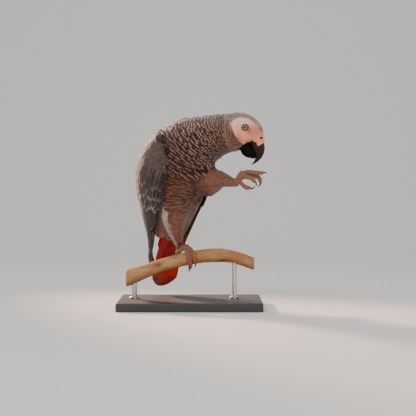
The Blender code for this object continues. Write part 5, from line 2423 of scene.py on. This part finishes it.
@dataclass
class Horn:
    """The bill's two halves and the claws, remade smooth and finely meshed."""

    nodes: dict
    marks: Markings
    growth_line: float = 0.02 * MM
    cere_swell: float = 0.30 * MM
    bill_voxel: float = 0.34 * MM
    claw_voxel: float = 0.24 * MM

    def build(self) -> None:
        """Makes all the horn."""
        upper = HornFinish("bill_horn", linear(22, 13, 10), linear(92, 58, 46), 0.6, 0.5).material()
        lower = HornFinish("lower_bill_horn", linear(5, 3, 3), linear(18, 12, 10), 0.5, 0.5, 0.08)
        lower = lower.material()
        claw = HornFinish("claw_horn", linear(34, 26, 24), linear(112, 90, 80), 0.6, 0.34).material()
        for name, material, rounds in (("bill_upper", upper, 14), ("bill_lower", lower, 44)):
            piece = remeshed(f"{name}_horn", merged_copy([name], self.nodes), self.bill_voxel, rounds)
            self.dress(piece)
            finish_piece(piece, (name,), material)
        for name in CLAW_NODES:
            piece = remeshed(f"{name}_horn", merged_copy([name], self.nodes), self.claw_voxel, 5)
            finish_piece(piece, (name,), claw)

    def dress(self, piece: Piece) -> None:
        """Adds faint growth lines across the bill and the swollen cere over its base."""
        points, normals = vertex_arrays(piece.data)
        x, _, z = (points / MM).T
        lines = np.sin((x * 0.55 - z * 0.85) * 1.3 + ripple(x * 0.5, z * 0.5, 3.0) * 2.4)
        forward, above = self.marks.head_view(points)
        depth = inside_outline(forward, above, self.marks.CERE)
        cere = smooth(depth + 0.3 * ripple(forward, above, 6.0), -0.3, 0.4)
        if "lower" in piece.name:
            cere[:] = 0.0
        swell = self.growth_line * lines * (1 - cere) + self.cere_swell * smooth(depth, 0.0, 1.4) * cere
        set_attribute(piece.data, "cere", "FLOAT", cere)
        tone = self.marks.skin_colour(points, np.zeros(len(points)))
        set_attribute(piece.data, "core", "FLOAT_COLOR", tone)
        set_places(piece.data, points + normals * swell[:, None])


# ---------------------------------------------------------------- feet


@dataclass
class FootScales:
    """Small overlapping scales on the shanks and toes, pointing at the claws."""

    skin: Skin
    vanes: VaneTree
    spacing: float = 1.15 * MM
    length: float = 2.0 * MM
    half: float = 0.85 * MM
    throws: int = 16000

    def ways(self, points: Array) -> tuple[Array, Array]:
        """Where the scales at some points lead, and their places on the bake map.

        Args:
            points: Array (n, 3).

        Returns:
            Ways to the claw of the toe, or to the middle of the foot on a shank; and the map's places.
        """
        toes = [f"toe_{side}_{digit}" for side in SIDES for digit in range(1, 5)]
        ends = [box_middle(toe.replace("toe", "claw")) for toe in toes]
        ends += [sum((box_middle(f"toe_{side}_{d}") for d in range(1, 5)), Vector()) / 4 for side in SIDES]
        ways = np.zeros_like(points)
        patch = np.zeros((len(points), 2))
        best = np.full(len(points), FAR)
        for k, (name, end) in enumerate(zip((*toes, *SHANK_NODES), ends)):
            gaps = self.skin.part((name,)).gaps(points)
            closer = gaps < best - (0.2 * MM if name in SHANK_NODES else 0.0)
            if name not in SHANK_NODES:
                best[closer] = gaps[closer]
            ways[closer] = np.array(end) - points[closer]
            patch[closer, 0] = (k + 0.5) / 10
        reach = np.linalg.norm(ways, axis=1)
        patch[:, 1] = (reach / reach.max()) * 0.96 + 0.01
        patch[:, 0] += 0.045 * np.sin(points[:, 2] / MM * 1.3)
        return ways, patch

    def build(self) -> None:
        """Lays the scales."""
        skin = self.skin

        def on_foot(points: Array) -> Array:
            near = in_boxes(points, FOOT_NODES, 0.5 * MM)
            share = np.zeros(len(points))
            share[near] = skin.foot_share(points[near]) > 0.8
            return share

        points, _ = skin.scatter(self.throws, 51, on_foot)
        points = points[thinned(points, np.full(len(points), self.spacing))]
        ways, patch = self.ways(points)
        rng = np.random.default_rng(52)
        tone = rng.normal(1.0, 0.09, (len(points), 1))
        shades = tuple(np.array(linear(*shade)) * tone for shade in ((132, 84, 64), (158, 108, 86)))
        growth = Growth(skin.surface, Grade.SPECK, 53, 0.25, 0.00018, 0.5, 0.7, wander=6, roll=2)
        length, half, tip = (np.full(len(points), size) for size in (self.length, self.half, 0.17 * MM))
        feathers = growth.grow(points, ways, length, half, 0.02 * MM, tip, shades, patch)
        finish = FeatherFinish("foot_scales", 0.55, 1.0, 0.4, 0.0, 0.0, 0.0, 0.5, 0.00004).material()
        piece = self.vanes.lay("foot_scales", feathers, Grade.SPECK, finish, fray=0.0)
        finish_piece(piece)


# ---------------------------------------------------------------- ring, perch and stand


@dataclass
class LegRing:
    """The open metal ring round the right shank, with rolled edges and a seam."""

    centre: Vector = field(default_factory=lambda: Vector((-0.0106, 0.0078, 0.0840)))
    axis: Vector = field(default_factory=lambda: Vector((0.45, -0.87, 0.18)).normalized())
    inner: float = 5.45 * MM
    outer: float = 6.35 * MM
    height: float = 3.4 * MM

    def build(self) -> None:
        """Makes the ring."""
        across = self.axis.cross(UP).normalized()
        over = across.cross(self.axis)
        rows = []
        count = 120
        for k in range(count):
            turn = math.radians(4) + math.radians(352) * k / (count - 1)
            way = across * math.cos(turn) + over * math.sin(turn)
            row = []
            for step in range(20):
                angle = 2 * math.pi * step / 20
                c, s = math.cos(angle), math.sin(angle)
                bulge = math.copysign(abs(c) ** 0.55, c)
                rise = math.copysign(abs(s) ** 0.4, s)
                groove = 0.07 * MM if c > 0.5 and abs(s) < 0.4 else 0.0
                radius = 0.5 * (self.inner + self.outer) + 0.5 * (self.outer - self.inner) * bulge - groove
                row.append(self.centre + way * radius + self.axis * (0.5 * self.height * rise))
            rows.append(row)
        piece = lofted("ring_band", rows)
        steel = MetalFinish("ring_steel", linear(74, 68, 64), 0.36).material()
        finish_piece(piece, ("leg_ring",), steel)


@dataclass
class Perch:
    """The cut length of branch: weathered grain, knots and sawn ends."""

    nodes: dict
    voxel: float = 0.85 * MM
    # Where the branch's middle bends, and its height at the left end, the bends and the right end.
    bends: tuple[float, float] = (-0.028, 0.03)
    heights: tuple[float, ...] = (0.0412, 0.0622, 0.0727, 0.0608)
    # Places of the knots and their sizes in millimetres.
    knots: tuple[tuple[float, float, float, float], ...] = (
        (-0.0440, -0.0085, 0.0600, 2.6),
        (0.0420, -0.0070, 0.0640, 3.4),
        (0.0755, 0.0060, 0.0730, 3.8),
    )

    def build(self) -> None:
        """Makes the branch."""
        piece = remeshed("perch_branch", merged_copy(["perch"], self.nodes), self.voxel, 8)
        points, normals = vertex_arrays(piece.data)
        low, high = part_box("perch")
        x, y, z = (points / MM).T
        heart = np.interp(points[:, 0], (low[0], *self.bends, high[0]), self.heights)
        side = np.arctan2(points[:, 2] - heart, points[:, 1])
        furrow = np.sin(side * 9 + 0.05 * x + 1.2 * ripple(x * 0.05, side, 1.0))
        swell = ripple(x * 0.09, side * 0.8, 5.0)
        lift = 0.10 * furrow + 0.22 * swell - 0.22
        knot = np.zeros(len(points))
        for kx, ky, kz, size in self.knots:
            stretched = (points - np.array((kx, ky, kz))) * np.array((0.36, 1.0, 1.0))
            stretched[:, 2] -= stretched[:, 0] * 0.8
            gap = np.linalg.norm(stretched, axis=1) / (size * MM) + 0.22 * ripple(x * 0.5, z * 0.9, 2.0)
            ring = np.exp(-((gap - 1.0) / 0.35) ** 2)
            core = np.exp(-(gap / 0.8) ** 4)
            lift = lift + 0.5 * ring - 0.5 * core
            knot = np.maximum(knot, np.maximum(core, 0.45 * ring))
        past = np.maximum(x - high[0] / MM, low[0] / MM - x)
        ends = smooth(np.abs(normals[:, 0]), 0.78, 0.9) * smooth(past, -7, -5)
        lift = lift * (1 - ends)
        set_places(piece.data, points + normals * (lift * MM)[:, None])
        radius = np.hypot(y, z - np.where(x > 0, self.heights[-1], self.heights[0]) / MM)
        for name, values in (("knot", knot), ("ends", ends), ("radius", radius)):
            set_attribute(piece.data, name, "FLOAT", values)
        finish_piece(piece, ("perch",), WoodFinish().material())


@dataclass
class Stand:
    """The plain display stand: a bevelled board and two steel rods with collars."""

    bevel: float = 2.2 * MM
    corner: float = 6.0 * MM
    collar: float = 6.4 * MM
    collar_height: float = 3.2 * MM

    def board(self) -> None:
        """Makes the base board."""
        low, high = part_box("stand_base")
        profile = [(self.bevel, 0.0)]
        for step in range(7):
            angle = math.pi / 2 * step / 6
            inset = self.bevel * 0.5 * (1 - math.sin(angle))
            profile.append((inset, self.bevel * 0.5 * (1 - math.cos(angle))))
        for step in range(9):
            angle = math.pi / 2 * step / 8
            drop = self.bevel * (1 - math.sin(angle))
            profile.append((self.bevel * (1 - math.cos(angle)), high[2] - low[2] - drop))
        centre, half = (low + high) / 2, (high - low) / 2
        rows = []
        for inset, rise in profile:
            row = []
            for quarter, (sx, sy) in enumerate(((1, 1), (-1, 1), (-1, -1), (1, -1))):
                x = centre[0] + sx * (half[0] - self.corner)
                y = centre[1] + sy * (half[1] - self.corner)
                for step in range(9):
                    turn = math.pi / 2 * (quarter + step / 8)
                    radius = self.corner - inset
                    row.append((x + radius * math.cos(turn), y + radius * math.sin(turn), low[2] + rise))
            rows.append(row)
        piece = lofted("stand_board", rows)
        for polygon in piece.data.polygons:
            polygon.use_smooth = abs(polygon.normal.z) < 0.99
        paint = BoardFinish("board_paint", linear(52, 50, 50)).material()
        finish_piece(piece, ("stand_base",), paint)

    def rod(self, side: str, material: Material) -> None:
        """Makes one rod with its collar."""
        low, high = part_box(f"stand_rod_{side}")
        centre = box_middle(f"stand_rod_{side}")
        radius = (high[0] - low[0]) / 2
        foot = max(low[2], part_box("stand_base")[1][2])
        lip = 0.6 * MM
        profile = (
            (radius, low[2]),
            (radius, foot),
            (self.collar - lip, foot),
            (self.collar, foot + lip),
            (self.collar, foot + self.collar_height - lip),
            (self.collar - lip, foot + self.collar_height),
            (radius + 0.3 * MM, foot + self.collar_height),
            (radius, foot + self.collar_height + 0.3 * MM),
            (radius, high[2] - lip),
            (radius - lip, high[2]),
        )
        turns = [math.pi * k / 24 for k in range(48)]
        rows = [
            [(centre[0] + wide * math.cos(turn), centre[1] + wide * math.sin(turn), z) for turn in turns]
            for wide, z in profile
        ]
        piece = lofted(f"rod_{side}", rows)
        piece.data.set_sharp_from_angle(angle=math.radians(35))
        finish_piece(piece, (f"stand_rod_{side}",), material)

    def build(self) -> None:
        """Makes the board and both rods."""
        self.board()
        steel = MetalFinish("rod_steel", linear(196, 196, 194), 0.3).material()
        for side in SIDES:
            self.rod(side, steel)


# ---------------------------------------------------------------- the studio


@dataclass
class Studio:
    """The pale sweep, the soft lights and the camera."""

    distance: float = 1.7
    centre: tuple[float, float] = (0.0252, 0.1714)
    scale: float = 0.0014
    frame_width: int = 416
    drop: float = 23.0
    aim: tuple[float, float, float] = (0.0, 0.0, 0.16)

    def sweep(self) -> None:
        """Makes the floor that rises into the backdrop."""
        bm = bmesh.new()
        profile = [(-2.6, 0.0), (1.1, 0.0)]
        for step in range(1, 13):
            turn = math.pi / 2 * step / 12
            profile.append((1.1 + 0.9 * math.sin(turn), 0.9 * (1 - math.cos(turn))))
        profile.append((2.0, 4.0))
        rows = [[bm.verts.new((x, y, z)) for x in (-4.0, 4.0)] for y, z in profile]
        for a, b in zip(rows, rows[1:]):
            bm.faces.new((a[0], a[1], b[1], b[0]))
        floor = from_bmesh("studio_sweep", bm)
        floor.data.materials.append(PaperFinish("studio_paper", linear(222, 220, 217)).material())

    def light(
        self, name: str, place: Sequence[float], size: float, power: float, colour: Colour, cone: float = 0.0
    ) -> None:
        """Adds a soft square light aimed at the bird, or a soft spot.

        Args:
            name: The light's name.
            place: Where it stands.
            size: Its width.
            power: Its power in watts.
            colour: Its colour.
            cone: The spot's cone in degrees, or none for a square light.
        """
        data = bpy.data.lights.new(name, "SPOT" if cone else "AREA")
        if cone:
            data.shadow_soft_size = size
            data.spot_size = math.radians(cone)
            data.spot_blend = 0.6
        else:
            data.size = size
        data.energy = power
        data.color = colour
        lamp = bpy.data.objects.new(name, data)
        lamp.location = place
        way = Vector(self.aim) - Vector(place)
        lamp.rotation_euler = way.to_track_quat("-Z", "Y").to_euler()
        bpy.context.scene.collection.objects.link(lamp)

    def build(self) -> None:
        """Sets up floor, lights, world and camera."""
        self.sweep()
        self.light("key", (-0.7, -1.5, 1.6), 1.1, 21.5, (1.0, 0.96, 0.91))
        self.light("front", (0.9, -2.0, 0.5), 1.2, 13.5, (1.0, 0.97, 0.93))
        self.light("rim", (-0.76, 0.95, 0.48), 0.08, 290.0, (1.0, 0.60, 0.44), cone=24.0)
        self.light("backdrop", (0.0, 0.6, 2.4), 1.6, 27.0, (1.0, 0.99, 0.97))
        world = bpy.data.worlds.new("studio")
        world.use_nodes = True
        background = world.node_tree.nodes["Background"]
        background.inputs["Color"].default_value = (0.92, 0.95, 1.0, 1.0)
        background.inputs["Strength"].default_value = 0.42
        bpy.context.scene.world = world
        data = bpy.data.cameras.new("camera")
        data.sensor_width = 36.0
        data.lens = data.sensor_width * self.distance / (self.frame_width * self.scale)
        camera = bpy.data.objects.new("camera", data)
        pitch = math.atan(self.drop * self.scale / self.distance)
        camera.location = (self.centre[0], -self.distance, self.centre[1])
        camera.rotation_euler = (math.pi / 2 - pitch, 0, 0)
        bpy.context.scene.collection.objects.link(camera)
        bpy.context.scene.camera = camera


# ---------------------------------------------------------------- all of it


def main(frame: dict) -> None:
    """Builds every piece round the frame's solids.
    """
    logging.basicConfig(level=logging.INFO, format="%(name)s: %(message)s")
    nodes = frame["nodes"]
    eyes = {side: box_middle(f"eye_{side}") for side in SIDES}
    line = Line(SPINE)
    marks = Markings(eyes, line)
    vanes = VaneTree()
    Studio().build()
    wings = {side: Wing(side, nodes, line, vanes) for side in SIDES}
    charts = {side: wing.chart() for side, wing in wings.items()}
    skin = Skin(nodes, marks, eyes, charts)
    skin_piece = skin.build()
    coat = Coat(skin, vanes, marks)
    coat.body()
    coat.thighs()
    for wing in wings.values():
        wing.build(skin, coat)
    coat.fill()
    Tail(vanes).build()
    for side, eye in eyes.items():
        one = Eye(side, eye, marks.outward(side))
        one.ball()
        one.lids(skin_piece.data.materials[0])
    Horn(nodes, marks).build()
    FootScales(skin, vanes).build()
    LegRing().build()
    Perch(nodes).build()
    Stand().build()


if __name__ == "__main__":
    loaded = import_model()
    main(loaded)
